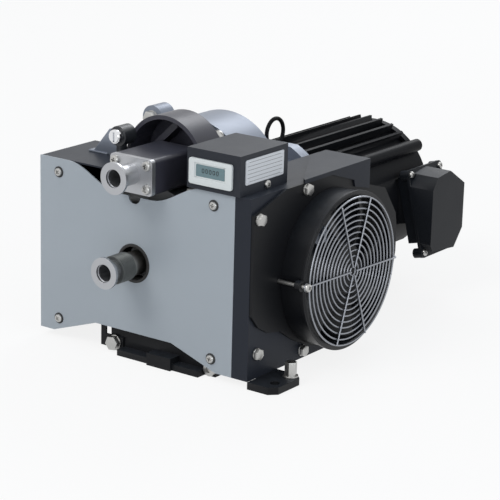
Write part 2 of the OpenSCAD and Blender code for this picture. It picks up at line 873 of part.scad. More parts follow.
module left_side_sheet() {
    slot_step = (case_depth - 4 * slot_w) / slot_count;
    hood_side = hood_r + hood_wall + hood_room;
    color("#2b2f38") difference() {
        union() {
            block(left_x, left_x + sheet_t, sheet_t, case_depth, case_bottom, case_top);
            block(left_x, left_x + flange_w, sheet_t, behind, case_bottom, case_top);
            block(left_x, left_x + left_top_w, sheet_t, hood_front - over, case_top - sheet_t, case_top);
            block(left_x, -hood_side, sheet_t, case_depth, case_top - sheet_t, case_top);
            block(left_x, -hood_side, case_depth - sheet_t, case_depth, case_bottom, case_top);
        }
        for (i = [0 : slot_count - 1])
            block(left_x - over, left_x + sheet_t + over, 2 * slot_w + i * slot_step,
                3 * slot_w + i * slot_step, axis_h - slot_h / 2, axis_h + slot_h / 2);
        rod_y(housing_r + over, case_depth - sheet_t - over, case_depth + over);
        block(cover_lip_left - half_w, left_x + flange_w + over, 0, behind + over, 0, case_bottom + duct_notch_h);
        for (z = cover_screw_z) rod_y(m4_r + hole_gap, sheet_t - over, behind + over, -cover_screw_x, z);
    }
}

// Side of the duct, fuller behind the fan
module duct_outline() {
    polygon([
        [0, case_bottom], [duct_full, case_bottom], [duct_full, duct_full_h],
        [duct_back, duct_full_h + duct_full - duct_back], [duct_back, case_top], [0, case_top]
    ]);
}

module fan_duct() {
    notch = half_w - cover_lip_right;
    color("#2b2f38") difference() {
        union() {
            plate_x(duct_x - sheet_t, duct_x) duct_outline();
            plate_x(notch, duct_x) difference() {
                duct_outline();
                offset(delta = -sheet_t) duct_outline();
                translate([-over, 0]) square([over + sheet_t, case_top + over]);
            }
            block(half_w + slip, duct_x, 0, sheet_t, case_bottom, case_top);
            block(half_w - flange_w, duct_x, sheet_t, behind, case_bottom, case_top);
            block(half_w - flange_w, duct_x, sheet_t, duct_back, case_top - sheet_t, case_top);
            block(meter_x - meter_wall - sheet_t, meter_x - meter_wall, tab_front, tab_back,
                case_top - sheet_t, case_top + tab_h);
        }
        block(half_w - flange_w - over, notch, 0, behind + over, 0, case_bottom + duct_notch_h);
        rod_x(fan_bore_r, duct_x - 2 * sheet_t, duct_x + over, fan_y, fan_z);
        for (p = duct_bolts) rod_x(m6_r + hole_gap, duct_x - 2 * sheet_t, duct_x + over, p[0], p[1]);
        for (z = cover_screw_z) rod_y(m4_r + hole_gap, sheet_t - over, behind + over, cover_screw_x, z);
        rod_x(m4_r + hole_gap, meter_x - 3 * meter_wall, meter_x, meter_screw[0], meter_screw[1]);
        rod_z(m6_r + hole_gap, case_bottom - over, case_bottom + sheet_t + over, foot_screw[0], foot_screw[1]);
    }
}

module duct_top_cover() {
    top = case_top + duct_top_rise;
    right = plate_out + sheet_t;
    left = right - duct_top_w - fan_plate_t;
    module plan() {
        along = duct_top_rear * plan_shares;
        polygon([
            [right, along[0]], [duct_x, along[1]], [left, along[2]], [left, duct_top_rear], [right, duct_top_rear]
        ]);
    }
    color("#2b2f38") {
        difference() {
            translate([0, 0, case_top]) linear_extrude(duct_top_rise) plan();
            translate([0, 0, case_top - over])
                linear_extrude(duct_top_rise - sheet_t + over) offset(delta = -sheet_t) plan();
        }
        plate_x(plate_out, right) polygon(concat(
            [for (p = skirt_shares) [p[0] * duct_top_rear, top - p[1] * duct_skirt_h]],
            [[duct_top_rear, top]]
        ));
    }
}

// Fan

module fan_plate() {
    color("#17181b") difference() {
        plate_x(duct_x, plate_out) union() {
            translate([fan_y, fan_z]) circle(fan_pad_r);
            polygon([for (p = plate_shares) [p[0] * plate_depth, p[1] * case_top]]);
        }
        rod_x(fan_bore_r, duct_x - over, plate_out + over, fan_y, fan_z);
        for (p = duct_bolts) rod_x(m6_r + hole_gap, duct_x - over, plate_out + over, p[0], p[1]);
        guard_place() rod_x(m4_r + hole_gap, duct_x - over, plate_out + over, 0, 0);
    }
}

// Moves to the ear at the front of the fan
module guard_place() {
    translate([0, fan_y - ear_r * cos(ear_slope), fan_z + ear_r * sin(ear_slope)]) children();
}

module fan_barrel() {
    rim_r = fan_bore_r + fan_wall + fan_rim;
    color("#111214") difference() {
        union() {
            rod_x(fan_bore_r + fan_wall, plate_out, barrel_out, fan_y, fan_z);
            rod_x(rim_r, barrel_out - fan_plate_t, barrel_out, fan_y, fan_z);
            guard_place() rod_x(ear_out - over, barrel_out - 2 * fan_plate_t, barrel_out, 0, 0);
        }
        rod_x(fan_bore_r, plate_out - over, barrel_out + over, fan_y, fan_z);
        guard_place() rod_x(m4_r + hole_gap, plate_out - over, barrel_out + over, 0, 0);
    }
}

module fan_motor() {
    color("#1b1c1f") {
        rod_x(fan_motor_r, plate_out + over, plate_out + fan_motor_len + over, fan_y, fan_z);
        intersection() {
            rod_x(fan_bore_r, plate_out, plate_out + 2 * over + fan_plate_t, fan_y, fan_z);
            translate([plate_out + over, fan_y, fan_z]) for (turn = fan_motor_turns)
                rotate([turn, 0, 0]) translate([0, 0, -fan_plate_t]) cube([fan_plate_t, fan_bore_r + over, 2 * fan_plate_t]);
        }
        rod_x(fan_pin_r, plate_out + over, fan_pin_end, fan_y, fan_z);
    }
}

module fan_impeller() {
    color("#232529") difference() {
        union() {
            rod_x(fan_hub_r, hub_x, hub_x + hub_len, fan_y, fan_z);
            intersection() {
                rod_x(fan_bore_r - blade_gap, hub_x - hub_len, hub_x + 2 * hub_len, fan_y, fan_z);
                translate([hub_x + hub_len / 2, fan_y, fan_z]) for (i = [0 : blade_count - 1])
                    rotate([i * 360 / blade_count, 0, 0]) rotate([0, blade_pitch, 0])
                        translate([-blade_t / 2, fan_hub_r - blade_t, -blade_len / 2])
                            cube([blade_t, fan_bore_r, blade_len]);
            }
        }
        rod_x(fan_pin_r + fit, hub_x - over, hub_x + hub_len + over, fan_y, fan_z);
    }
}

module wire_ring(r, x, y, z) {
    translate([x, y, z]) rotate([0, 90, 0]) rotate_extrude() translate([r, 0]) circle(guard_wire_r, $fn = wire_sides);
}

module fan_guard() {
    ring_step = (guard_r - ring_first) / (ring_count - 1);
    eye = m4_r + guard_wire_r + hole_gap;
    color("#b9bec4") {
        for (i = [0 : ring_count - 1]) wire_ring(ring_first + i * ring_step, guard_x, fan_y, fan_z);
        guard_place() wire_ring(eye, spoke_x, 0, 0);
        rod_x(guard_foot_r, barrel_out, spoke_x, fan_y + hook_r * cos(ear_slope), fan_z - hook_r * sin(ear_slope));
        translate([spoke_x, fan_y, fan_z]) {
            for (end = [[180, ear_r - eye], [0, hook_r]]) rotate([end[0] - ear_slope, 0, 0])
                translate([0, ring_first, 0]) rotate([-90, 0, 0])
                    cylinder(r = guard_wire_r, h = end[1] - ring_first);
            for (side = [-1, 1], half = [0, 180]) rotate([half + side * guard_spread, 0, 0])
                translate([0, 0, ring_first]) cylinder(r = guard_wire_r, h = guard_r - ring_first);
        }
    }
}

module guard_screw() {
    head = spoke_x + guard_wire_r;
    color("silver") guard_place() {
        rod_x(m4_r, duct_x, head + slip, 0, 0);
        rod_x(m4_head_r, head, head + m4_head_h, 0, 0);
    }
}

// Meter box

module meter_box() {
    color("#34373c") difference() {
        block(meter_left, meter_x, -meter_front, meter_d - meter_front, case_top, meter_top);
        block(meter_left + meter_wall, meter_x - meter_wall, meter_wall - meter_front,
            meter_d - meter_front - meter_wall, case_top - over, meter_top - meter_wall);
        block(dial_left + dial_rim, dial_left + dial_w - dial_rim, -meter_front - over, meter_wall,
            dial_low + dial_rim, dial_low + dial_h - dial_rim);
        rod_x(m4_r + hole_gap, meter_x - 2 * meter_wall, meter_x + over, meter_screw[0], meter_screw[1]);
    }
}

module hour_meter() {
    rim = dial_rim + slip;
    color("#c9cccf") difference() {
        union() {
            block(dial_left, dial_left + dial_w, -dial_front, -meter_front, dial_low, dial_low + dial_h);
            block(dial_left + rim, dial_left + dial_w - rim, -meter_front - over, dial_deep,
                dial_low + rim, dial_low + dial_h - rim);
        }
        block(dial_left + glass_side, dial_left + glass_side + glass_w, -dial_front - over, -dial_front + over,
            glass_low, glass_low + glass_h);
    }
}

module meter_glass() {
    color("#3d545c") block(dial_left + glass_side, dial_left + glass_side + glass_w, slip - dial_front,
        over - dial_front, glass_low, glass_low + glass_h);
}

module meter_plate() {
    tag_l = tag_share * meter_d;
    tag_y = (meter_d - tag_l) / 2 - meter_front;
    color("#c4c8cd") block(meter_x, meter_x + tag_t, tag_y, tag_y + tag_l,
        case_top + tag_low, case_top + tag_high);
}

// Pump

module pump_housing() {
    color("#33373d") difference() {
        union() {
            rod_y(housing_r, rim_end, housing_end);
            block(housing_foot[0], housing_foot[1], rim_end + m6_af / 2, rail_front,
                pedestal_floor, axis_h - cavity_r);
            block(housing_block[0], housing_block[1], rim_end, cavity_end - m6_af / 2,
                axis_h + cavity_r, hood_legs);
        }
        rod_y(cavity_r, rim_end - over, cavity_end);
        rod_y(shaft_r + washer_t, cavity_end - over, housing_end + over);
        round_shaft(guide_ring_r, guide_turns) rod_y(guide_bearing_r, cavity_end - over, cavity_end + guide_pin_len, 0, 0);
        block(-housing_r - over, housing_r + over, orbit_back, cavity_end - window_end,
            axis_h - window_h / 2, axis_h + window_h / 2);
        round_shaft(fixed_bolt_r, fixed_bolt_turns) rod_y(m6_r + hole_gap, rim_end - over, orbit_back, 0, 0);
        turned_y() polygon([
            [seal_mid - seal_wide, rim_end - over], [seal_mid + seal_wide, rim_end - over],
            [seal_mid + seal_wide, rim_end + seal_deep], [seal_mid - seal_wide, rim_end + seal_deep]
        ]);
    }
}

module housing_seal() {
    color("#1a1a1a") turned_y() translate([seal_mid, rim_end + seal_deep / 2]) circle(seal_deep / 2 - fit);
}

module intake_hood() {
    legs = hood_legs;
    outer = hood_r + hood_wall;
    back = hood_front + hood_len;
    color("#3a3e47") difference() {
        union() {
            rod_y(outer, hood_front, back, hood_x, hood_z);
            block(hood_x - outer, hood_x + outer, hood_front, back, legs, hood_z);
        }
        difference() {
            union() {
                rod_y(hood_r, hood_front - over, back - hood_wall, hood_x, hood_z);
                block(hood_x - hood_r, hood_x + hood_r, hood_front - over, back - hood_wall, legs - over, hood_z);
            }
            translate([rib_x, 0, rib_z]) rotate([0, rib_turn, 0])
                block(-rib_half, rib_half, inlet_back + rib_half_t, back, -rib_half_t, rib_half_t);
        }
        block(-outer * 2, outer * 2, hood_front - over, back + over, 0, legs);
        rod_y(housing_r + slip, hood_front - over, back + over);
    }
}

module inlet_duct() {
    color("#2c3036") difference() {
        block(inlet_x - inlet_w / 2, inlet_x + inlet_w / 2, inlet_flange_t - inlet_front, inlet_back,
            inlet_low, inlet_low + inlet_h);
        rod_y(vac_bore_r, -inlet_front, inlet_drop_y, inlet_x, inlet_z);
        rod_z(vac_bore_r, inlet_low - over, inlet_z, inlet_x, inlet_drop_y);
        for (x = [-inlet_bolt_x, inlet_bolt_x], z = [-inlet_bolt_z, inlet_bolt_z])
            rod_y(m6_r + hole_gap, -inlet_front, wall_front, inlet_x + x, inlet_low + inlet_h / 2 + z);
    }
}

module inlet_flange() {
    front = -inlet_front;
    color("#a8abae") difference() {
        union() {
            block(inlet_x - inlet_w / 2, inlet_x + inlet_w / 2, front, front + inlet_flange_t,
                inlet_low, inlet_low + inlet_h);
            vacuum_port(front - inlet_reach, front + over, inlet_x, inlet_z);
        }
        rod_y(vac_bore_r, front - inlet_flange_t, front + 2 * inlet_flange_t, inlet_x, inlet_z);
        for (x = [-inlet_bolt_x, inlet_bolt_x], z = [-inlet_bolt_z, inlet_bolt_z])
            rod_y(m6_r + hole_gap, front - over, front + 2 * inlet_flange_t, inlet_x + x, inlet_low + inlet_h / 2 + z);
    }
}

module fixed_scroll() {
    fin_step = 2 * chamber_r / fixed_fins;
    pad = inlet_pad_w / 2;
    color("#b3b6b9") difference() {
        union() {
            rod_y(fixed_r, fixed_floor, rim_end);
            rod_y(2 * vac_bore_r, fin_front, fixed_floor + over);
            block(inlet_x - pad, inlet_x + pad, fixed_floor + inlet_pad_step, rim_end - over,
                axis_h + chamber_r - inlet_pad_step, inlet_low);
            round_shaft(fixed_bolt_r, fixed_bolt_turns) rod_y(fixed_lug_r, fixed_lug_y, rim_end, 0, 0);
            intersection() {
                rod_y(chamber_r, fin_front, fixed_floor + over);
                for (i = [0 : fixed_fins - 1])
                    block(-fixed_r, fixed_r, fin_front, fixed_floor + over,
                        axis_h - chamber_r + (i + 0.5) * fin_step - fin_t / 2,
                        axis_h - chamber_r + (i + 0.5) * fin_step + fin_t / 2);
            }
        }
        rod_y(chamber_r, fixed_face, rim_end + over);
        rod_y(port_r, fin_front - over, fixed_face + over);
        rod_z(vac_bore_r, axis_h + chamber_r - inlet_pad_step - over, inlet_low + over, inlet_x, inlet_drop_y);
        round_shaft(fixed_bolt_r, fixed_bolt_turns) rod_y(m6_r + hole_gap, fixed_floor, rim_end + over, 0, 0);
    }
    color("#b3b6b9") fixed_spiral(1, fixed_face - over, rim_end - seal_h);
}

module fixed_tip_seal() {
    color("#e3dccb") fixed_spiral(seal_share, rim_end - seal_h, rim_end);
}

module orbiting_scroll() {
    color("#aeb1b4") translate([orbit_r, 0, 0]) difference() {
        union() {
            rod_y(orbit_plate_r, orbit_face, orbit_back);
            rod_y(bearing_r - bearing_step, orbit_back - over, orbit_back + boss_len);
            round_shaft(guide_ring_r, guide_turns)
                rod_y(guide_bearing_r + guide_bearing_step, orbit_back - over, orbit_back + boss_len, 0, 0);
        }
        rod_y(bearing_r - 2 * bearing_step, pin_begin, orbit_back + boss_len + over);
        round_shaft(guide_ring_r, guide_turns)
            rod_y(guide_bearing_r, orbit_back + boss_len - guide_pin_len, orbit_back + boss_len + over, 0, 0);
    }
    color("#aeb1b4") moving_spiral(1, fixed_face + tip_gap + seal_h, orbit_face + over);
}

module orbiting_tip_seal() {
    color("#e3dccb") moving_spiral(seal_share, fixed_face + tip_gap, fixed_face + tip_gap + seal_h);
}

module orbiting_bearings() {
    boss_end = orbit_back + boss_len;
    color("#9fa3a8") translate([orbit_r, 0, 0]) {
        tube_y(bearing_r - 2 * bearing_step, pin_r + fit, pin_begin, pin_end);
        round_shaft(guide_ring_r, guide_turns)
            tube_y(guide_bearing_r, guide_pin_r + fit, boss_end - guide_pin_len, boss_end, 0, 0);
    }
}

// Outlet

module outlet_port() {
    color("#9a9da0") {
        vacuum_port(-outlet_reach, fin_front, 0, axis_h);
        intersection() {
            rod_y(vac_bore_r + over, stop_back - stop_t, stop_back);
            union() {
                block(-vac_bore_r - over, vac_bore_r + over, stop_back - stop_t, stop_back,
                    axis_h - stop_web_t / 2, axis_h + stop_web_t / 2);
                rod_y(vac_bore_r / 2, stop_back - stop_t, stop_back);
            }
        }
    }
}

module outlet_sleeve() {
    step = sleeve_len / groove_count;
    color("#2c2e30") difference() {
        tube_y(sleeve_r, vac_neck_r, -sleeve_front, -nut_front);
        for (i = [0 : groove_count - 1])
            tube_y(sleeve_r + over, sleeve_r - over,
                (i + groove_shares[0]) * step - sleeve_front, (i + groove_shares[1]) * step - sleeve_front);
    }
}

module outlet_nut() {
    color("#8a8d90") difference() {
        hex_y(union_af, -nut_front, union_len - nut_front, 0, axis_h);
        rod_y(vac_neck_r, -nut_front - over, union_len, 0, axis_h);
    }
}

module outlet_grommet() {
    inner = grommet_r - grommet_w - slip * 4;
    lip = grommet_lip_t;
    color("#141414") turned_y() polygon([
        [inner, -lip], [grommet_r, -lip], [grommet_r, 0], [cover_port_r, 0], [cover_port_r, sheet_t],
        [grommet_r, sheet_t], [grommet_r, sheet_t + lip], [inner, sheet_t + lip]
    ]);
}

module discharge_valve_disc() {
    color("#c8c2ae") rod_y(valve_r, fin_front - valve_t, fin_front);
}

// Gas ballast

module ballast_valve_body() {
    front = hood_front - ballast_len;
    color("#3b3e42") difference() {
        union() {
            rod_y(ballast_r, front, hood_front, -ballast_x, ballast_z);
            rod_z(stem_r, case_top, ballast_z - stem_r / 2, -ballast_x, hood_front - stem_in);
            rod_z(ballast_r - over, case_top, case_top + stem_foot_h, -ballast_x, hood_front - stem_in);
        }
        rod_y(m6_r + fit, front - over, front + knob_pin_len, -ballast_x, ballast_z);
    }
}

module ballast_knob() {
    front = hood_front - ballast_len;
    color("#d0d2d4") difference() {
        union() {
            rod_y(knob_r, ballast_front, front - slip, -ballast_x, ballast_z);
            rod_y(m6_r, ballast_front + over, front + knob_pin_len - slip, -ballast_x, ballast_z);
        }
        block(-ballast_x - knob_slot / 2, -ballast_x + knob_slot / 2, ballast_front - over,
            ballast_front + knob_slot, ballast_z, ballast_z + knob_r + over);
    }
}

// Crankcase and shaft

module crankcase() {
    wall = crankcase_wall;
    boss_r = bearing_r + wall;
    dome_end = housing_end + dome_len;
    color("#b7bbc0") difference() {
        union() {
            difference() {
                union() {
                    rod_y(crankcase_r, housing_end, crankcase_end);
                    intersection() {
                        rod_y(adapter_r, crankcase_end - flange_t, crankcase_end);
                        block(-adapter_half, adapter_half, crankcase_end - flange_t - over, crankcase_end + over,
                            axis_h - adapter_half, axis_h + adapter_half);
                    }
                    rod_y(dome_r, housing_end, dome_end, -dome_x, dome_z);
                    rod_y(lug_r, housing_end, housing_end + lug_len, dome_lug[0], dome_lug[1]);
                    translate([-dome_x, 0, dome_z]) rotate([0, -lug_turn, 0])
                        block(dome_r - wall, lug_ring_r - lug_r + over, housing_end, housing_end + lug_len - over,
                            lug_web_step - lug_r, lug_r - lug_web_step);
                    block(-mount_half, mount_half, mount_front, mount_back, rail_t, axis_h - crankcase_r + wall / 2);
                }
                rod_y(crankcase_r - wall, housing_end + wall, crankcase_end - wall);
                rod_y(dome_r - wall, housing_end + wall, dome_end - wall, -dome_x, dome_z);
            }
            rod_y(boss_r, housing_end, housing_end + bearing_w + bearing_step);
            rod_y(boss_r, rear_bearing - bearing_step, crankcase_end);
        }
        rod_y(bearing_r, housing_end - over, housing_end + bearing_w);
        rod_y(bearing_r, rear_bearing, crankcase_end + over);
        rod_y(bearing_r - 2 * bearing_step, housing_end, housing_end + 2 * bearing_w);
        rod_y(bearing_r - 2 * bearing_step, rear_bearing - 2 * bearing_step, crankcase_end);
        rod_y(m8_r + hole_gap, housing_end - over, housing_end + lug_len - lug_end_wall, dome_lug[0], dome_lug[1]);
        rod_y(m8_r + hole_gap, housing_end - over, housing_end + wall + over, dome_bolt[0], dome_bolt[1]);
        round_shaft(flange_bolt_r, flange_bolt_turns)
            rod_y(m8_r + hole_gap, crankcase_end - flange_t - over, crankcase_end + over, 0, 0);
    }
}

module shaft_bearings() {
    color("#9fa3a8") for (y = [front_bearing, rear_bearing, tail_bearing])
        tube_y(bearing_r, shaft_r + fit, y, y + bearing_w);
}

module guide_bearings() {
    color("#9fa3a8") round_shaft(guide_ring_r, guide_turns)
        tube_y(guide_bearing_r, guide_pin_r + fit, cavity_end, cavity_end + guide_pin_len, 0, 0);
}

// Crank with one pin in the housing and one in the moving scroll
module guide_crank(turn) {
    boss_end = orbit_back + boss_len;
    web_r = guide_bearing_r + over;
    color("#c2c5c8") round_shaft(guide_ring_r, [turn]) {
        rod_y(guide_pin_r, boss_end + slip, cavity_end + guide_pin_len - slip, 0, 0);
        rod_y(guide_pin_r, boss_end - guide_pin_len + slip, cavity_end - slip, orbit_r, 0);
        rod_y(web_r, boss_end + slip, cavity_end - slip, orbit_r / 2, 0);
    }
}

module guide_crank_1() {
    guide_crank(guide_turns[0]);
}

module guide_crank_2() {
    guide_crank(guide_turns[1]);
}

module guide_crank_3() {
    guide_crank(guide_turns[2]);
}

module crankshaft() {
    color("#a4a7aa") {
        rod_y(shaft_r, pin_end, shaft_end);
        rod_y(pin_r, pin_begin + slip, pin_end + over, orbit_r, axis_h);
    }
}

module balance_weight() {
    front = housing_end + bearing_w + bearing_step + over;
    weight_r = bearing_r + 3 * crankcase_wall;
    color("#6d7074") difference() {
        union() {
            rod_y(shaft_r + crankcase_wall, front, front + bearing_w);
            intersection() {
                rod_y(weight_r, front, front + bearing_w);
                block(-weight_r, 0, front, front + bearing_w, axis_h - bearing_r, axis_h + bearing_r);
            }
        }
        rod_y(shaft_r, front - over, front + bearing_w + over);
    }
}

// Motor

module motor_frame() {
    root = motor_r - motor_fin_h;
    seat_half = eye_r / 2 + fin_sink;
    color("#0f1011") difference() {
        union() {
            rod_y(root, frame_begin, frame_end);
            for (turn = fin_turns) translate([0, 0, axis_h]) rotate([0, -turn, 0])
                block(root - fin_sink, motor_r, frame_begin, frame_end, -motor_fin_t / 2, motor_fin_t / 2);
            intersection() {
                rod_y(motor_r - fin_sink, frame_begin, frame_end);
                block(smooth_share * motor_r, motor_r, frame_begin, frame_end, 0, 2 * axis_h);
            }
            round_shaft(frame_rib_ring_r, [frame_rib_turn]) rod_y(frame_rib_r, frame_rib_front, frame_end, 0, 0);
            block(-seat_half, seat_half, frame_begin, eye_y + seat_half, axis_h + root - seat_cut, eye_seat);
            translate([0, 0, axis_h]) rotate([0, -box_tilt, 0])
                block(root - seat_cut, box_base, base_y[0], frame_end - over, box_pad[0], box_pad[1]);
        }
        rod_y(stator_r, frame_begin - over, frame_end + over);
        block(-seat_half, seat_half, frame_begin - over, eye_y + eye_r, eye_seat, axis_h + motor_r + over);
        rod_z(m6_r, axis_h + stator_r + fin_sink, eye_seat + over, 0, eye_y);
        translate([0, 0, axis_h]) rotate([0, -box_tilt, 0])
            rod_x(lead_hole_r, stator_bore_r, box_base + over, lead_hole_y, box_mid);
    }
}

module motor_end_shields() {
    seat_r = motor_r - seat_cut;
    lobe_r = m8_af * lobe_share;
    color("#131415") {
        difference() {
            union() {
                rod_y(seat_r, crankcase_end, frame_begin);
                rod_y(stator_r, frame_begin - over, frame_begin + over);
                for (turn = flange_bolt_turns) translate([0, 0, axis_h]) rotate([0, -turn, 0])
                    block(stator_r, flange_bolt_r, crankcase_end, frame_begin, over - lobe_r, lobe_r - over);
                round_shaft(flange_bolt_r, flange_bolt_turns) rod_y(lobe_r, crankcase_end, frame_begin, 0, 0);
            }
            rod_y(shaft_r + washer_t, crankcase_end - over, frame_begin + 2 * over);
            round_shaft(flange_bolt_r, flange_bolt_turns)
                rod_y(m8_r + hole_gap, crankcase_end - over, frame_begin + over, 0, 0);
        }
        difference() {
            union() {
                rod_y(seat_r - over, frame_end, motor_end);
                rod_y(bearing_r + crankcase_wall, tail_bearing - bearing_step, motor_end + tail_boss);
            }
            rod_y(bearing_r, tail_bearing - bearing_step - over, tail_bearing + bearing_w);
        }
    }
}

module stator_core() {
    color("#7a7d80") difference() {
        tube_y(stator_r, stator_bore_r, stator_front, stator_back);
        for (i = [0 : stator_slots - 1]) translate([0, 0, axis_h]) rotate([0, i * 360 / stator_slots, 0])
            block(stator_bore_r - over, stator_bore_r + slot_deep, stator_front - over, stator_back + over,
                -slot_wide / 2, slot_wide / 2);
    }
}

module stator_windings() {
    inner = stator_bore_r + winding_step;
    outer = stator_bore_r + slot_deep;
    color("#b4713c") {
        tube_y(outer, inner, stator_front - winding_len, stator_front - slip);
        tube_y(outer, inner, stator_back + slip, stator_back + winding_len);
        for (i = [0 : stator_slots - 1]) translate([0, 0, axis_h]) rotate([0, i * 360 / stator_slots, 0])
            block(inner + slip, outer - slip, stator_front - over, stator_back + over,
                slip - slot_wide / 2, slot_wide / 2 - slip);
    }
}

module motor_rotor() {
    rotor_r = stator_bore_r - air_gap;
    color("#8d9093") difference() {
        union() {
            rod_y(rotor_r, stator_front, stator_back);
            rod_y(rotor_r - ring_step_r, stator_front - ring_end, stator_back + ring_end);
        }
        rod_y(shaft_r, stator_front - ring_end - over, stator_back + ring_end + over);
    }
}

module lifting_eye() {
    half = eye_half_t;
    middle = eye_seat + eye_r - eye_sink;
    color("#101112") {
        difference() {
            rod_x(eye_r, -half, half, eye_y, middle);
            rod_x(eye_hole_r, -half - over, half + over, eye_y, middle);
            block(-half - over, half + over, eye_y - eye_r, eye_y + eye_r, eye_seat - eye_r, eye_seat + over);
        }
        rod_z(eye_r / 2 - slip, eye_seat, eye_seat + half + over, 0, eye_y);
        rod_z(m6_r, eye_seat - motor_fin_h + eye_sink, eye_seat + over, 0, eye_y);
    }
}

// Terminal box

// Turns what is drawn on the box axis to the tilted side of the motor
module on_box_axis() {
    translate([0, 0, axis_h]) rotate([0, -box_tilt, 0]) children();
}

module box_flange_outline() {
    translate([box_front, box_screw_z[0]]) square([box_l, box_screw_z[1] - box_screw_z[0]]);
    translate([box_screw_y[0], box_low]) square([box_screw_y[1] - box_screw_y[0], box_h]);
    for (y = box_screw_y, z = box_screw_z) translate([y, z]) circle(box_ear_r);
}

module box_screw_places() {
    for (y = box_screw_y, z = box_screw_z) translate([0, y, z]) children();
}

module terminal_box() {
    color("#0c0d0e") on_box_axis() difference() {
        union() {
            plate_x(box_joint - box_flange_t, box_joint) box_flange_outline();
            block(box_base, box_joint - over, base_y[0], base_y[1], base_z[0], base_z[1]);
            box_screw_places() rod_x(box_ear_r - slip, box_joint - box_screw_len, box_joint - over, 0, 0);
        }
        block(box_base + box_wall, box_joint + over, base_y[0] + box_wall, base_y[1] - box_wall,
            base_z[0] + box_wall, base_z[1] - box_wall);
        rod_x(lead_hole_r, box_base - over, box_base + 2 * box_wall, lead_hole_y, box_mid);
        rod_y(gland_r, gland_y - 2 * box_wall, gland_y + over, gland_x, box_mid);
        box_screw_places() rod_x(m4_r + hole_gap, box_joint - box_screw_len - over, box_joint + over, 0, 0);
    }
}

module lid_outline() {
    polygon([for (p = lid_shares) [box_front + p[0] * box_l, lid_low + p[1] * lid_h]]);
}

module terminal_box_cover() {
    far = 2 * lid_out;
    color("#08090a") difference() {
        union() {
            on_box_axis() plate_x(box_joint, lid_seat) box_flange_outline();
            intersection() {
                plate_x(box_base, lid_out) lid_outline();
                on_box_axis() block(lid_seat - over, far, 0, far + far, -far, far);
            }
        }
        intersection() {
            plate_x(box_base, lid_out - box_wall) offset(delta = -box_wall) lid_outline();
            on_box_axis() difference() {
                block(box_joint - over, far, 0, far + far, -far, far);
                box_screw_places() rod_x(box_ear_r, 0, far, 0, 0);
            }
        }
        on_box_axis() box_screw_places() {
            rod_x(m4_r + hole_gap, box_joint - over, lid_seat + over, 0, 0);
            rod_x(box_head_r + hole_gap, lid_seat, lid_seat + m4_head_h + over, 0, 0);
        }
    }
}

module terminal_block() {
    half = 1.5 * post_pitch;
    block_y = [box_front + post_front, box_front + box_l - post_back];
    color("#7c6a4a") on_box_axis() {
        block(box_base + box_wall, box_joint, block_y[0], block_y[1], box_mid - half, box_mid + half);
        for (z = [-post_pitch, 0, post_pitch])
            rod_x(m4_r, box_joint - over, box_joint + post_h, (block_y[0] + block_y[1]) / 2, box_mid + z);
    }
}

module cable_gland() {
    color("#17181a") on_box_axis() difference() {
        union() {
            rod_y(gland_r, gland_y - box_wall, gland_y + gland_nut_h, gland_x, box_mid);
            hex_y(gland_af, gland_y, gland_y + gland_nut_h, gland_x, box_mid);
            rod_y(gland_r - over / 2, gland_y + gland_nut_h - over, gland_y + gland_h, gland_x, box_mid);
        }
        rod_y(gland_hole_r, gland_y - box_wall - over, gland_y + gland_h + over, gland_x, box_mid);
    }
}

module terminal_box_screws() {
    color("silver") on_box_axis() box_screw_places() {
        rod_x(m4_r, lid_seat - box_screw_len, lid_seat + slip, 0, 0);
        rod_x(box_head_r, lid_seat, lid_seat + m4_head_h, 0, 0);
    }
}

// Fasteners

module m4_screws() {
    color("silver") {
        for (x = [-cover_screw_x, cover_screw_x], z = cover_screw_z) {
            rod_y(m4_head_r, -m4_head_h, 0, x, z);
            rod_y(m4_r, -slip, behind + m4_r, x, z);
        }
        rod_x(m4_head_r, meter_x, meter_x + m4_head_h, meter_screw[0], meter_screw[1]);
        rod_x(m4_r, meter_x - 3 * meter_wall, meter_x + slip, meter_screw[0], meter_screw[1]);
    }
}

module m6_bolts() {
    color("#c5c7c9") {
        for (p = duct_bolts) bolt_x(m6_r, m6_af, m6_head_h, p[2], p[0], p[1], p[2] - duct_x + 2 * sheet_t);
        for (x = [-inlet_bolt_x, inlet_bolt_x], z = [-inlet_bolt_z, inlet_bolt_z])
            bolt_y(m6_r, m6_af, m6_head_h, inlet_x + x, -inlet_front, inlet_low + inlet_h / 2 + z, inlet_flange_t + inlet_thread);
        round_shaft(fixed_bolt_r, fixed_bolt_turns)
            bolt_y(m6_r, m6_af, m6_head_h, 0, fixed_lug_y, 0, orbit_back - fixed_lug_y - over);
        translate([foot_stud_x, foot_bolt_y, case_bottom]) {
            cylinder(r = stud_foot_r, h = washer_t);
            translate([0, 0, washer_t]) cylinder(d = m6_af / cos(30), h = stud_h, $fn = 6);
            translate([0, 0, over - case_bottom]) cylinder(r = m6_r, h = case_bottom);
        }
        translate([foot_screw[0], foot_screw[1], case_bottom + sheet_t]) {
            cylinder(d = m6_af / cos(30), h = m6_head_h, $fn = 6);
            translate([0, 0, over - case_bottom - sheet_t]) cylinder(r = m6_r, h = case_bottom + sheet_t);
        }
    }
}

module m8_bolts() {
    color("#c5c7c9") {
        bolt_y(m8_r, m8_af, m8_head_h, stay_bolt_x, wall_front - stay_t, stay_bolt_z, stay_t + pedestal_wall);
        rod_y(m8_af / 2, wall_front - m8_head_h + slip, wall_front, right_bolt_x, right_bolt_z);
        rod_y(m8_r, wall_front - slip, wall_front + pedestal_wall, right_bolt_x, right_bolt_z);
        bolt_y(m8_r, m8_af, m8_head_h, dome_lug[0], housing_end, dome_lug[1], lug_len - lug_end_wall - over);
        bolt_y(m8_r, m8_af, m8_head_h, dome_bolt[0], housing_end, dome_bolt[1], crankcase_wall);
        round_shaft(flange_bolt_r, flange_bolt_turns) mirror([0, 1, 0])
            bolt_y(m8_r, m8_af, m8_head_h, 0, -frame_begin, 0, shield_t + flange_t);
    }
}

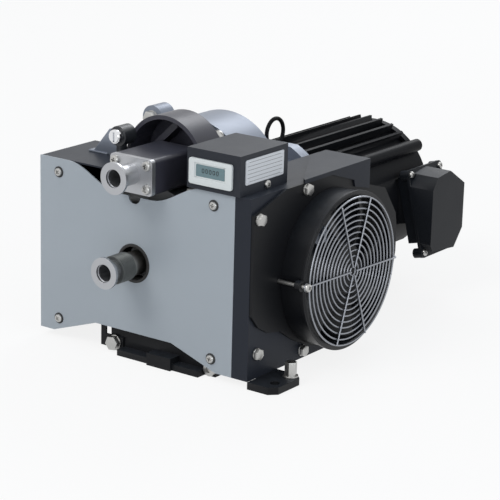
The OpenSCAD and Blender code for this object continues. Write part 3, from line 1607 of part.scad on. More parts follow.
base_rails();
base_crossbars();
front_pedestal();
pedestal_stay();
front_foot();
front_cover();
left_side_sheet();
fan_duct();
duct_top_cover();
fan_plate();
fan_barrel();
fan_motor();
fan_impeller();
fan_guard();
guard_screw();
meter_box();
hour_meter();
meter_glass();
meter_plate();
pump_housing();
intake_hood();
inlet_duct();
inlet_flange();
fixed_scroll();
fixed_tip_seal();
housing_seal();
orbiting_scroll();
orbiting_tip_seal();
orbiting_bearings();
outlet_port();
outlet_sleeve();
outlet_nut();
outlet_grommet();
discharge_valve_disc();
ballast_valve_body();
ballast_knob();
crankcase();
shaft_bearings();
guide_bearings();
guide_crank_1();
guide_crank_2();
guide_crank_3();
crankshaft();
balance_weight();
motor_frame();
motor_end_shields();
stator_core();
stator_windings();
motor_rotor();
lifting_eye();
terminal_box();
terminal_box_cover();
terminal_block();
cable_gland();
terminal_box_screws();
m4_screws();
m6_bolts();
m8_bolts();
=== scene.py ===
# Looks of the air cooled scroll vacuum pump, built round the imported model.
# X runs to the fan side, Y from the front cover back to the motor, Z up, all in metres.
import json
import math
import random

import bmesh
import bpy
from mathutils import Matrix, Vector


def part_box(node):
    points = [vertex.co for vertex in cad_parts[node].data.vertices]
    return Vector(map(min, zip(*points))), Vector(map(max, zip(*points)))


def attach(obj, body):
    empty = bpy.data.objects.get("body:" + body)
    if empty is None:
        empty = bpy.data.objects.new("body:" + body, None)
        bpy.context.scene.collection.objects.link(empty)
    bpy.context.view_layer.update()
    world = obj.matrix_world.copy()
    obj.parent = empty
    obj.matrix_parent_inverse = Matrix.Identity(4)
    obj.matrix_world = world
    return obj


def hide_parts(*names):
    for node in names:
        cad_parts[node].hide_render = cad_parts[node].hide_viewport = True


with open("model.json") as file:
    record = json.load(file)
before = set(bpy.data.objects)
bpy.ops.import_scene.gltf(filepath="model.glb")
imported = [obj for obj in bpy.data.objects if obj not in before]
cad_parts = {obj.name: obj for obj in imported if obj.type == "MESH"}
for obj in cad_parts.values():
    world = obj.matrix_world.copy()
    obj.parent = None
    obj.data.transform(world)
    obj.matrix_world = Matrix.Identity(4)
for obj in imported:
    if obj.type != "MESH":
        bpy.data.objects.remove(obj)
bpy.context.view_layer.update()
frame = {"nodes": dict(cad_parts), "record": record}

MM = 0.001

# Camera
CAMERA_AT = Vector((1.1617, -1.4317, 0.6498))
CAMERA_AZIMUTH = 35.71
CAMERA_ELEVATION = 16.38
CAMERA_ROLL = 1.50
CAMERA_LENS = 149.2
SENSOR_WIDTH = 36
VIEW_DEPTH = 20

# Surroundings
SKY_COLOR = (0.88, 0.94, 1.0, 1)
SKY_STRENGTH = 0.5
WHITE = (1, 1, 1, 1)
FLOOR_COLOR = (0.85, 0.85, 0.85, 1)
FLOOR_WHITE = 0.85
FLOOR_REACH = 4
# Name, place, aim, width, power and colour of each lamp
LAMPS = (
    ("key", (-0.7, -1.9, 2.3), (0, 0.1, 0.1), 1.6, 34, (1, 0.98, 0.95)),
    ("fill", (2.4, -0.5, 1.1), (0.05, 0.2, 0.1), 1.4, 13, (0.9, 0.95, 1)),
    ("front", (0.5, -2.2, 0.8), (0, 0.1, 0.15), 0.9, 6, (0.97, 0.98, 1)),
    ("back", (-0.6, 2.4, 1.9), (0, 0.2, 0.1), 1.2, 20, (0.95, 0.97, 1)),
)

# Directions
TO_FRONT = (0, -1, 0)
TO_REAR = (0, 1, 0)
TO_FAN_SIDE = (1, 0, 0)
UPWARD = (0, 0, 1)
AS_DRAWN = Matrix.Identity(4)

# Meshes: points closer than this are one, and edges flatter or sharper than these angles
NODE_MERGE = 1e-6
SHAPE_MERGE = 1e-7
FLAT_ANGLE = math.radians(0.4)
NODE_SMOOTH = math.radians(35)
SHAPE_SMOOTH = math.radians(32)
ON_CORNER = 0.05 * MM
CORNER_SEGMENTS = 5

# Pan heads of the sheet screws, and the numbers the turns of the bolt heads start from
SCREW_HEAD_R = 4 * MM
SCREW_HEAD_H = 2.6 * MM
M6_SEED = 5
M8_SEED = 11


# Camera, floor and light


def add_camera():
    azimuth = math.radians(CAMERA_AZIMUTH)
    elevation = math.radians(CAMERA_ELEVATION)
    back = Vector((
        math.sin(azimuth) * math.cos(elevation),
        -math.cos(azimuth) * math.cos(elevation),
        math.sin(elevation),
    ))
    roll = Matrix.Rotation(math.radians(CAMERA_ROLL), 3, back)
    right = roll @ Vector((math.cos(azimuth), math.sin(azimuth), 0))
    up = back.cross(right)
    camera = bpy.data.objects.new("camera", bpy.data.cameras.new("camera"))
    bpy.context.scene.collection.objects.link(camera)
    camera.data.lens = CAMERA_LENS
    camera.data.sensor_width = SENSOR_WIDTH
    camera.data.clip_end = VIEW_DEPTH
    axes = Matrix((right, up, back)).transposed().to_4x4()
    camera.matrix_world = Matrix.Translation(CAMERA_AT) @ axes
    bpy.context.scene.camera = camera


def add_area_light(name, at, aim, size, power, color):
    light = bpy.data.lights.new(name, "AREA")
    light.shape = "DISK"
    light.size = size
    light.energy = power
    light.color = color
    lamp = bpy.data.objects.new(name, light)
    bpy.context.scene.collection.objects.link(lamp)
    lamp.location = at
    lamp.rotation_euler = (Vector(aim) - Vector(at)).to_track_quat("-Z", "Y").to_euler()


def shown_white(tree, lit, white, share):
    """Mixes a lit shader with plain white for what the camera, gloss and glass see directly."""
    path = tree.nodes.new("ShaderNodeLightPath")
    direct = maths(tree, "MAXIMUM", path.outputs["Is Camera Ray"], path.outputs["Is Glossy Ray"])
    seen = maths(tree, "MAXIMUM", direct, path.outputs["Is Transmission Ray"])
    mix = tree.nodes.new("ShaderNodeMixShader")
    wire(
        tree,
        (maths(tree, "MULTIPLY", seen, share), mix.inputs[0]),
        (lit, mix.inputs[1]),
        (white.outputs[0], mix.inputs[2]),
    )
    return mix.outputs[0]


def add_sky():
    """Soft blue light from all round, which shows as plain white."""
    world = bpy.data.worlds.new("studio")
    bpy.context.scene.world = world
    world.use_nodes = True
    tree = world.node_tree
    light = tree.nodes["Background"]
    set_values(light, {"Color": SKY_COLOR, "Strength": SKY_STRENGTH})
    white = tree.nodes.new("ShaderNodeBackground")
    set_values(white, {"Color": WHITE})
    seen = shown_white(tree, light.outputs[0], white, 1.0)
    wire(tree, (seen, tree.nodes["World Output"].inputs["Surface"]))


def add_floor():
    """White paper that takes a faint shadow."""
    bm = bmesh.new()
    bmesh.ops.create_grid(bm, x_segments=1, y_segments=1, size=FLOOR_REACH)
    floor = add_object("floor", bm)
    paper, tree, skin = new_material("floor_paper")
    set_values(skin, {"Base Color": FLOOR_COLOR, "Roughness": 0.9, "Specular IOR Level": 0.1})
    white = tree.nodes.new("ShaderNodeEmission")
    seen = shown_white(tree, skin.outputs[0], white, FLOOR_WHITE)
    wire(tree, (seen, tree.nodes["Material Output"].inputs["Surface"]))
    floor.data.materials.append(paper)


def add_stage():
    bpy.context.scene.view_settings.view_transform = "Standard"
    add_sky()
    add_floor()
    for lamp in LAMPS:
        add_area_light(*lamp)


# Objects and nodes


def add_object(name, bm):
    """Makes an object of a bmesh, which is freed."""
    mesh = bpy.data.meshes.new(name)
    bm.to_mesh(mesh)
    bm.free()
    piece = bpy.data.objects.new(name, mesh)
    bpy.context.scene.collection.objects.link(piece)
    return piece


def smooth_by_angle(piece, angle):
    piece.data.shade_smooth()
    piece.data.set_sharp_from_angle(angle=angle)


def soften(piece, width):
    """Rounds the sharp edges of a piece."""
    bevel = piece.modifiers.new("edges", "BEVEL")
    bevel.width = width
    bevel.segments = 2
    bevel.limit_method = "ANGLE"
    bevel.angle_limit = NODE_SMOOTH
    bevel.harden_normals = True
    bevel.miter_outer = "MITER_ARC"


def body_of_node(node):
    for body, nodes in frame["record"]["behaviour"]["bodies"].items():
        if node in nodes:
            return body
    raise ValueError(node)


def slot_of_node(node):
    for part in frame["record"]["subparts"]:
        if part["node"] == node:
            return part["material_slot"]
    raise ValueError(node)


def stand_for(piece, node, material=None):
    """Lets a piece take the place of a node, with its body, slot and finish."""
    slot = slot_of_node(node)
    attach(piece, body_of_node(node))
    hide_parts(node)
    piece.data.materials.clear()
    piece.data.materials.append(material or FINISHES[slot])


def ride_with(piece, node, slot):
    """Fixes an added piece to the body of a node, with a slot and its finish."""
    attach(piece, body_of_node(node))
    piece.data.materials.append(FINISHES[slot])


def box_of(node):
    """The lowest and highest corner of a node."""
    low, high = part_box(node)
    return Vector(low), Vector(high)


def merged_copy(node):
    """A copy of a node's mesh with its loose triangles joined."""
    bm = bmesh.new()
    bm.from_mesh(frame["nodes"][node].data)
    bmesh.ops.remove_doubles(bm, verts=bm.verts, dist=NODE_MERGE)
    return bm


def extent(verts):
    """The lowest and highest corner of some vertices."""
    return tuple(Vector([end(v.co[i] for v in verts) for i in range(3)]) for end in (min, max))


def middle(corners):
    low, high = corners
    return (low + high) / 2


def runs_along(edge, axis):
    """Whether an edge points along X, Y or Z, counted 0, 1, 2."""
    return abs((edge.verts[1].co - edge.verts[0].co).normalized()[axis]) > 0.999


def corner_edges(bm, axis):
    """The edges along an axis that lie on the outer corners of a shape."""
    low, high = extent(bm.verts)
    others = [i for i in range(3) if i != axis]

    def outermost(at):
        return all(min(at[i] - low[i], high[i] - at[i]) < ON_CORNER for i in others)

    return [e for e in bm.edges if runs_along(e, axis) and outermost(e.verts[0].co)]


def round_edges_of(node, width, corner=0.0):
    """Copies a node with its flat faces whole and its edges rounded, sizes in mm."""
    bm = merged_copy(node)
    flat = [e for e in bm.edges if e.is_manifold and e.calc_face_angle() < FLAT_ANGLE]
    bmesh.ops.dissolve_edges(bm, edges=flat, use_verts=False, use_face_split=False)
    if corner:
        bevel_edges(bm, corner_edges(bm, 1), corner * MM, CORNER_SEGMENTS)
    piece = add_object(node + "_finished", bm)
    smooth_by_angle(piece, NODE_SMOOTH)
    soften(piece, width * MM)
    stand_for(piece, node)


def solids_of(node):
    """The lowest and highest corner of each separate solid of a node, from low X up."""
    bm = merged_copy(node)
    left = set(bm.verts)
    corners = []
    while left:
        found = {left.pop()}
        waiting = list(found)
        while waiting:
            vert = waiting.pop()
            near = {e.other_vert(vert) for e in vert.link_edges} - found
            found |= near
            waiting.extend(near)
        left -= found
        corners.append(extent(found))
    bm.free()
    return sorted(corners, key=lambda c: tuple(c[0]))


# Shapes drawn about +Z from a face at zero, in metres


def in_mm(pairs):
    """Pairs of numbers given in mm, as metres."""
    return [(a * MM, b * MM) for a, b in pairs]


def turned(bm, profile, steps=32):
    """Spins a profile of radius and height once round Z."""
    verts = [bm.verts.new((r, 0, z)) for r, z in profile]
    edges = [bm.edges.new(pair) for pair in zip(verts, verts[1:])]
    full_turn(bm, verts + edges, steps)


def full_turn(bm, section, steps):
    """Spins a section once round Z, joins its seam and turns its faces outwards."""
    bmesh.ops.spin(
        bm, geom=section, cent=(0, 0, 0), axis=(0, 0, 1),
        angle=math.tau, steps=steps, use_merge=True,
    )
    bmesh.ops.remove_doubles(bm, verts=bm.verts, dist=SHAPE_MERGE)
    bmesh.ops.recalc_face_normals(bm, faces=bm.faces)


def bevel_edges(bm, edges, width, segments=2):
    bmesh.ops.bevel(
        bm, geom=edges, offset=width, segments=segments, profile=0.5, affect="EDGES", material=-1,
        offset_type="OFFSET", clamp_overlap=True,
    )


def add_block(bm, low, high, width=0.0):
    """A box between two corners, with its edges rounded."""
    low, high = Vector(low), Vector(high)
    made = bmesh.ops.create_cube(bm, size=1)["verts"]
    bmesh.ops.scale(bm, vec=high - low, verts=made)
    bmesh.ops.translate(bm, vec=(low + high) / 2, verts=made)
    if width:
        bevel_edges(bm, list({e for v in made for e in v.link_edges}), width)


def rounded_plate(low, high, radius, axis=1, edge=0.0):
    """A flat block with its four corners round an axis turned off, and its front edge."""
    bm = bmesh.new()
    add_block(bm, low, high)
    bevel_edges(bm, [e for e in bm.edges if runs_along(e, axis)], radius, CORNER_SEGMENTS)
    if edge:
        front = min(bm.faces, key=lambda f: f.calc_center_median().y)
        bevel_edges(bm, list(front.edges), edge, 3)
    return bm


def washer_shape(bm, radius, thickness):
    edge = 0.15 * thickness
    turned(bm, [
        (0, 0), (radius - edge, 0), (radius, edge), (radius, thickness - edge),
        (radius - edge, thickness), (0, thickness),
    ])


def hex_shape(bm, corner, z0, z1, edge):
    """A hexagon bar between two heights, with its top edges turned off."""
    made = bmesh.ops.create_cone(
        bm, cap_ends=True, segments=6, radius1=corner, radius2=corner, depth=z1 - z0,
        matrix=Matrix.Translation((0, 0, (z0 + z1) / 2)),
    )["verts"]
    top = {f for v in made for f in v.link_faces if f.normal.z > 0.9}
    bevel_edges(bm, list({e for f in top for e in f.edges}), edge)


def bolt_shape(across, head, washer_r, washer_t):
    """Washer and hexagon head."""
    bm = bmesh.new()
    washer_shape(bm, washer_r, washer_t)
    hex_shape(bm, across / math.sqrt(3), washer_t * 0.98, washer_t + head, 0.09 * across)
    return bm


def standoff_shape(height):
    """A tall hexagon on a wide washer."""
    bm = bmesh.new()
    washer_shape(bm, 7.2 * MM, 1.6 * MM)
    hex_shape(bm, 5.77 * MM, 1.5 * MM, height, 0.8 * MM)
    return bm


def recessed_head(outline, radius, height, sink, profile, steps=24):
    """A round head with a recess of any outline sunk in its flat middle."""
    bm = bmesh.new()
    verts = [bm.verts.new((*p, height)) for p in outline]
    recess = [bm.edges.new((verts[i], verts[(i + 1) % len(verts)])) for i in range(len(verts))]
    rim = bmesh.ops.create_circle(
        bm, segments=steps, radius=profile[0][0] * radius, matrix=Matrix.Translation((0, 0, height)),
    )
    ring = list({e for v in rim["verts"] for e in v.link_edges})
    bmesh.ops.bridge_loops(bm, edges=recess + ring)
    floor = bmesh.ops.extrude_edge_only(bm, edges=recess)["geom"]
    low = [g for g in floor if isinstance(g, bmesh.types.BMVert)]
    bmesh.ops.translate(bm, vec=(0, 0, -sink), verts=low)
    bmesh.ops.scale(bm, vec=(0.85, 0.85, 1), verts=low)
    bmesh.ops.holes_fill(bm, edges=[g for g in floor if isinstance(g, bmesh.types.BMEdge)])
    for r, z in profile[1:]:
        grown = bmesh.ops.extrude_edge_only(bm, edges=ring)["geom"]
        for vert in (g for g in grown if isinstance(g, bmesh.types.BMVert)):
            vert.co = (*(vert.co.to_2d().normalized() * r * radius), z * height)
        ring = [g for g in grown if isinstance(g, bmesh.types.BMEdge)]
    bmesh.ops.holes_fill(bm, edges=ring)
    bmesh.ops.recalc_face_normals(bm, faces=bm.faces)
    return bm


def pan_shape(radius, height):
    """A rounded screw head with a cross recess."""
    arm, half = 0.52 * radius, 0.13 * radius
    outline = [
        Matrix.Rotation(quarter * math.pi / 2, 2) @ Vector(corner)
        for quarter in range(4) for corner in ((arm, -half), (arm, half), (half, half))
    ]
    profile = ((0.66, 1), (0.86, 0.88), (0.97, 0.62), (1.0, 0.4), (1.0, 0.0))
    return recessed_head(outline, radius, height, 0.55 * height, profile)


def rod_shape(radius, length):
    bm = bmesh.new()
    turned(bm, [(0, 0), (radius, 0), (radius, length), (0, length)], 20)
    return bm


def round_rod(radius, length):
    """A wire end to end along Z, with its ends rounded."""
    bm = bmesh.new()
    tip, end = 0.4 * radius, 0.7 * radius
    turned(bm, [
        (0, 0), (end, 0), (radius, tip), (radius, length - tip), (end, length), (0, length),
    ], 12)
    return bm


def ring_shape(radius, wire_r, sides, steps):
    """A round wire bent to a full ring about Z."""
    bm = bmesh.new()
    place = Matrix.Translation((radius, 0, 0)) @ Matrix.Rotation(math.pi / 2, 4, "X")
    section = bmesh.ops.create_circle(bm, segments=sides, radius=wire_r, matrix=place)["verts"]
    edges = list({e for v in section for e in v.link_edges})
    full_turn(bm, section + edges, steps)
    return bm


# Placing


def facing(axis, at, spin=0.0):
    """Moves +Z to an axis and the origin to a place, after a turn about Z."""
    turn = Vector(axis).to_track_quat("Z", "Y").to_matrix().to_4x4()
    return Matrix.Translation(at) @ turn @ Matrix.Rotation(spin, 4, "Z")


def set_back(places, depth):
    """The same places, moved back along their own Z."""
    return [place @ Matrix.Translation((0, 0, -depth)) for place in places]


def copies(name, shapes):
    """Joins shapes, each a bmesh and a list of placings, into one object."""
    whole = bmesh.new()
    for shape, places in shapes:
        mesh = bpy.data.meshes.new("shape")
        shape.to_mesh(mesh)
        shape.free()
        for place in places:
            before = len(whole.verts)
            whole.from_mesh(mesh)
            whole.verts.ensure_lookup_table()
            bmesh.ops.transform(whole, matrix=place, verts=whole.verts[before:])
        bpy.data.meshes.remove(mesh)
    piece = add_object(name, whole)
    smooth_by_angle(piece, SHAPE_SMOOTH)
    return piece


def joined(name, shapes):
    """Joins bmeshes that are drawn in place into one object."""
    return copies(name, [(shape, [AS_DRAWN]) for shape in shapes])


# Finishes


def new_group(name, inputs, outputs):
    group = bpy.data.node_groups.new(name, "ShaderNodeTree")
    for label, kind, value in inputs:
        socket = group.interface.new_socket(name=label, in_out="INPUT", socket_type="NodeSocket" + kind)
        socket.default_value = value
    for label, kind in outputs:
        group.interface.new_socket(name=label, in_out="OUTPUT", socket_type="NodeSocket" + kind)
    return group, group.nodes.new("NodeGroupInput"), group.nodes.new("NodeGroupOutput")


def new_material(name):
    """A material with its node tree and its shader."""
    material = bpy.data.materials.new(name)
    material.use_nodes = True
    return material, material.node_tree, material.node_tree.nodes["Principled BSDF"]


def set_values(node, values):
    for label, value in values.items():
        node.inputs[label].default_value = value


def wire(tree, *pairs):
    for a, b in pairs:
        tree.links.new(a, b)


def maths(tree, operation, a, b, clamp=False):
    """A Math node fed by sockets or plain numbers."""
    node = tree.nodes.new("ShaderNodeMath")
    node.operation = operation
    node.use_clamp = clamp
    for socket, value in zip(node.inputs, (a, b)):
        if isinstance(value, (int, float)):
            socket.default_value = value
        else:
            tree.links.new(value, socket)
    return node.outputs[0]


def noise(tree, scale, detail, rough):
    """Noise over the object, its scale a socket or a plain number."""
    node = tree.nodes.new("ShaderNodeTexNoise")
    set_values(node, {"Detail": detail, "Roughness": rough})
    if isinstance(scale, (int, float)):
        node.inputs["Scale"].default_value = scale
    else:
        tree.links.new(scale, node.inputs["Scale"])
    place = tree.nodes.new("ShaderNodeTexCoord").outputs["Object"]
    tree.links.new(place, node.inputs["Vector"])
    return node.outputs["Fac"]


def mixed(tree, factor, a, b):
    """Mixes two colours, each a socket."""
    node = tree.nodes.new("ShaderNodeMix")
    node.data_type = "RGBA"
    wire(tree, (factor, node.inputs["Factor"]), (a, node.inputs["A"]), (b, node.inputs["B"]))
    return node.outputs["Result"]


def shaded(tree, color, factor):
    """The colour times a factor."""
    node = tree.nodes.new("ShaderNodeVectorMath")
    node.operation = "SCALE"
    wire(tree, (color, node.inputs[0]), (factor, node.inputs["Scale"]))
    return node.outputs[0]


def surface_group():
    """Uneven colour and gloss, fine grain, and on upward faces dust mixed with a painted pale blue sky
    sheen.
    """
    group, given, made = new_group(
        "uneven_surface",
        [
            ("Color", "Color", (0.5, 0.5, 0.5, 1)), ("Patchiness", "Float", 0.06),
            ("Patch Scale", "Float", 14.0), ("Grain Scale", "Float", 900.0),
            ("Roughness", "Float", 0.5), ("Roughness Change", "Float", 0.08),
            # Share and pale blue colour of the dust and painted sky sheen on upward faces
            ("Sheen And Dust", "Float", 0.06), ("Dust Color", "Color", (0.38, 0.46, 0.58, 1)),
        ],
        [("Color", "Color"), ("Roughness", "Float"), ("Height", "Float")],
    )
    patch = noise(group, given.outputs["Patch Scale"], 4, 0.6)
    swing = maths(group, "MULTIPLY", maths(group, "SUBTRACT", patch, 0.5), 2.0)
    tone = maths(group, "ADD", maths(group, "MULTIPLY", swing, given.outputs["Patchiness"]), 1.0)
    toned = shaded(group, given.outputs["Color"], tone)
    normal = group.nodes.new("ShaderNodeSeparateXYZ")
    coordinates = group.nodes.new("ShaderNodeTexCoord")
    wire(group, (coordinates.outputs["Normal"], normal.inputs[0]))
    # Upward faces are painted lighter and bluer, a painted sky sheen mixed with dust
    upward = maths(group, "POWER", maths(group, "MAXIMUM", normal.outputs["Z"], 0.0), 2.0)
    specks = noise(group, 140.0, 5, 0.7)
    sheen_and_dust = maths(group, "MULTIPLY", maths(group, "MULTIPLY", upward, specks), given.outputs["Sheen And Dust"])
    change = maths(group, "MULTIPLY", swing, given.outputs["Roughness Change"])
    gloss = maths(group, "ADD", change, given.outputs["Roughness"], clamp=True)
    wire(
        group,
        (mixed(group, sheen_and_dust, toned, given.outputs["Dust Color"]), made.inputs["Color"]),
        (gloss, made.inputs["Roughness"]),
        (noise(group, given.outputs["Grain Scale"], 3, 0.55), made.inputs["Height"]),
    )
    return group


UNEVEN = surface_group()


def finish(
    name, color, roughness, metallic=0.0, patch=0.06, patch_scale=14.0, grain=900.0,
    bump=0.0, depth=0.1, dust_and_sheen=0.05, coat=0.0, coat_roughness=0.2, specular=0.5,
):
    """A painted, cast, moulded or machined finish, with the depth of its grain in mm, and dust with a
    painted sky sheen on its upward faces.
    """
    material, tree, skin = new_material(name)
    uneven = tree.nodes.new("ShaderNodeGroup")
    uneven.node_tree = UNEVEN
    set_values(uneven, {
        "Color": (*color, 1), "Patchiness": patch, "Patch Scale": patch_scale,
        "Grain Scale": grain, "Roughness": roughness, "Sheen And Dust": dust_and_sheen,
    })
    wire(
        tree,
        (uneven.outputs["Color"], skin.inputs["Base Color"]),
        (uneven.outputs["Roughness"], skin.inputs["Roughness"]),
    )
    set_values(skin, {
        "Metallic": metallic, "Coat Weight": coat, "Coat Roughness": coat_roughness,
        "Specular IOR Level": specular,
    })
    if bump:
        relief = tree.nodes.new("ShaderNodeBump")
        set_values(relief, {"Strength": bump, "Distance": depth * MM})
        wire(
            tree,
            (uneven.outputs["Height"], relief.inputs["Height"]),
            (relief.outputs["Normal"], skin.inputs["Normal"]),
        )
    return material


# One finish for each slot, with its colour and roughness
FINISHES = {
    "cover_paint": finish(
        "cover_powder_coat", (0.315, 0.35, 0.385), 0.42,
        patch=0.03, bump=0.25, depth=0.06, grain=1400, dust_and_sheen=0.02,
    ),
    "blue_grey_paint": finish(
        "duct_blue_grey_paint", (0.019, 0.022, 0.03), 0.42,
        bump=0.25, depth=0.06, grain=1200, specular=0.13,
    ),
    "meter_box_paint": finish(
        "meter_box_texture_paint", (0.018, 0.021, 0.028), 0.46,
        bump=0.4, depth=0.08, grain=1600, specular=0.22,
    ),
    "black_paint": finish(
        "black_powder_coat", (0.007, 0.0075, 0.009), 0.45,
        bump=0.3, depth=0.08, grain=1200, specular=0.16,
    ),
    "black_plastic": finish(
        "black_moulding", (0.005, 0.0055, 0.007), 0.36,
        bump=0.25, depth=0.06, grain=1800, specular=0.28,
    ),
    "guard_wire": finish(
        "plated_guard_wire", (0.3, 0.315, 0.345), 0.38, metallic=1, patch=0.08, dust_and_sheen=0,
    ),
    "screw_steel": finish(
        "zinc_plated_screws", (0.46, 0.46, 0.45), 0.36,
        metallic=1, patch=0.1, patch_scale=60, dust_and_sheen=0,
    ),
    "meter_bezel": finish(
        "light_grey_bezel", (0.6, 0.63, 0.63), 0.42, bump=0.2, depth=0.04, grain=2200,
    ),
    "meter_display": finish(
        "display_window", (0.075, 0.15, 0.17), 0.16,
        patch=0.02, dust_and_sheen=0, coat=1, coat_roughness=0.05,
    ),
    "plate_foil": finish(
        "plain_foil", (0.6, 0.62, 0.65), 0.38, metallic=0.3, patch=0.04, grain=600, bump=0.1,
    ),
    "dark_cast_paint": finish(
        "dark_painted_casting", (0.034, 0.034, 0.047), 0.4,
        bump=0.5, depth=0.2, grain=700, patch=0.12, specular=0.4,
    ),
    "port_aluminium": finish(
        "blasted_aluminium", (0.44, 0.45, 0.47), 0.36,
        metallic=0.9, bump=0.3, depth=0.06, grain=1600, patch=0.1, dust_and_sheen=0,
    ),
    "union_steel": finish(
        "plain_steel", (0.34, 0.33, 0.31), 0.36, metallic=1, patch=0.15, dust_and_sheen=0,
    ),
    "sleeve_zinc": finish(
        "dark_zinc_sleeve", (0.085, 0.092, 0.092), 0.42,
        metallic=0.7, patch=0.15, bump=0.2, grain=1200, dust_and_sheen=0,
    ),
    "scroll_aluminium": finish(
        "cast_scroll_aluminium", (0.2, 0.205, 0.21), 0.5,
        metallic=0.7, bump=0.3, depth=0.1, grain=900, patch=0.08, dust_and_sheen=0,
    ),
    "tip_seal_plastic": finish(
        "filled_seal_plastic", (0.62, 0.55, 0.42), 0.55, patch=0.05, dust_and_sheen=0,
    ),
    "seal_rubber": finish(
        "black_rubber", (0.01, 0.01, 0.01), 0.6, bump=0.2, depth=0.05, grain=1500,
    ),
    "bearing_steel": finish(
        "ground_bearing_steel", (0.55, 0.56, 0.58), 0.22, metallic=1, dust_and_sheen=0,
    ),
    "shaft_steel": finish(
        "ground_shaft_steel", (0.52, 0.53, 0.54), 0.25, metallic=1, dust_and_sheen=0,
    ),
    "weight_iron": finish(
        "bare_iron", (0.15, 0.15, 0.155), 0.55, metallic=0.8, bump=0.4, depth=0.15, grain=800,
    ),
    "valve_paint": finish(
        "valve_dark_paint", (0.02, 0.022, 0.026), 0.4, bump=0.3, depth=0.08,
    ),
    "knob_chrome": finish(
        "polished_knob", (0.75, 0.76, 0.78), 0.12, metallic=1, patch=0.03, dust_and_sheen=0,
    ),
    "crankcase_aluminium": finish(
        "silver_casting", (0.215, 0.24, 0.29), 0.45,
        metallic=0.5, bump=0.5, depth=0.2, grain=800, patch=0.1,
    ),
    "motor_paint": finish(
        "motor_black_enamel", (0.007, 0.0075, 0.009), 0.45,
        bump=0.3, depth=0.12, grain=600, specular=0.06, dust_and_sheen=0.01,
    ),
    "terminal_paint": finish(
        "terminal_box_enamel", (0.009, 0.0105, 0.0135), 0.42,
        bump=0.25, depth=0.1, grain=700, specular=0.15,
    ),
    "terminal_plastic": finish("terminal_moulding", (0.14, 0.075, 0.035), 0.5, dust_and_sheen=0),
    "core_steel": finish("laminated_steel", (0.2, 0.2, 0.21), 0.45, metallic=0.8, dust_and_sheen=0),
    "winding_copper": finish(
        "enamelled_copper", (0.4, 0.13, 0.05), 0.3,
        metallic=0.8, bump=0.6, depth=0.3, grain=500, dust_and_sheen=0,
    ),
}


def paint_all_nodes():
    for node, piece in frame["nodes"].items():
        piece.data.materials.clear()
        piece.data.materials.append(FINISHES[slot_of_node(node)])


# Sheets, castings and other plain nodes

# Width of the rounded edges, in mm
EDGES = {
    "front_cover": 0.35, "left_side_sheet": 0.5, "fan_duct": 0.5, "duct_top_cover": 0.5,
    "fan_barrel": 0.6, "meter_box": 0.5, "front_pedestal": 0.8, "pedestal_stay": 0.4,
    "front_foot": 0.8, "base_rails": 0.5, "base_crossbars": 0.5, "pump_housing": 1.2,
    "intake_hood": 1.2, "inlet_duct": 0.6, "inlet_flange": 0.5, "outlet_port": 0.35,
    "fixed_scroll": 0.5, "ballast_valve_body": 0.8, "crankcase": 1.2, "motor_frame": 0.5,
    "motor_end_shields": 0.8, "terminal_box": 1.0, "terminal_box_cover": 2.6, "cable_gland": 0.5,
}

# Corners along the shaft that are turned off further, in mm
CAST_CORNERS = {"inlet_duct": 4.5, "inlet_flange": 3.5}


def round_all_edges():
    for node, width in EDGES.items():
        round_edges_of(node, width, CAST_CORNERS.get(node, 0.0))


# Screws and bolts


def head_places(node, axis, keep):
    """The outer ends along an axis of the screws to keep, each with a turn."""
    places = []
    index = max(range(3), key=lambda i: abs(axis[i]))
    for number, corners in enumerate(c for c in solids_of(node) if keep(*c)):
        at = middle(corners)
        at[index] = corners[1][index] if axis[index] > 0 else corners[0][index]
        places.append((at, random.Random(number).uniform(0, math.tau)))
    return places


def on_the_cover(low, high):
    return low.y < -1 * MM and low.x < 0.1


def beside_the_cover(low, high):
    return not on_the_cover(low, high)


def cover_screws():
    """Pan heads round the cover and on the fan side."""
    front = [
        facing(TO_FRONT, at + Vector((0, SCREW_HEAD_H, 0)), spin)
        for at, spin in head_places("m4_screws", TO_FRONT, on_the_cover)
    ]
    side = [
        facing(TO_FAN_SIDE, at - Vector((SCREW_HEAD_H, 0, 0)), spin)
        for at, spin in head_places("m4_screws", TO_FAN_SIDE, beside_the_cover)
    ]
    stand_for(copies("cover_screw_set", [
        (pan_shape(SCREW_HEAD_R, SCREW_HEAD_H), front + side),
        (rod_shape(2 * MM, 5 * MM), set_back(front + side, 4.8 * MM)),
    ]), "m4_screws")


def screw_rings():
    """Thin dark rings under the heads of the cover screws."""
    washer = bmesh.new()
    turned(washer, in_mm([(4.05, 0), (5.3, 0), (5.3, 0.5), (4.9, 0.7), (4.05, 0.7), (4.05, 0)]))
    places = [
        facing(TO_FRONT, at + Vector((0, SCREW_HEAD_H, 0)))
        for at, _ in head_places("m4_screws", TO_FRONT, on_the_cover)
    ]
    ride_with(copies("cover_screw_rings", [(washer, places)]), "m4_screws", "seal_rubber")


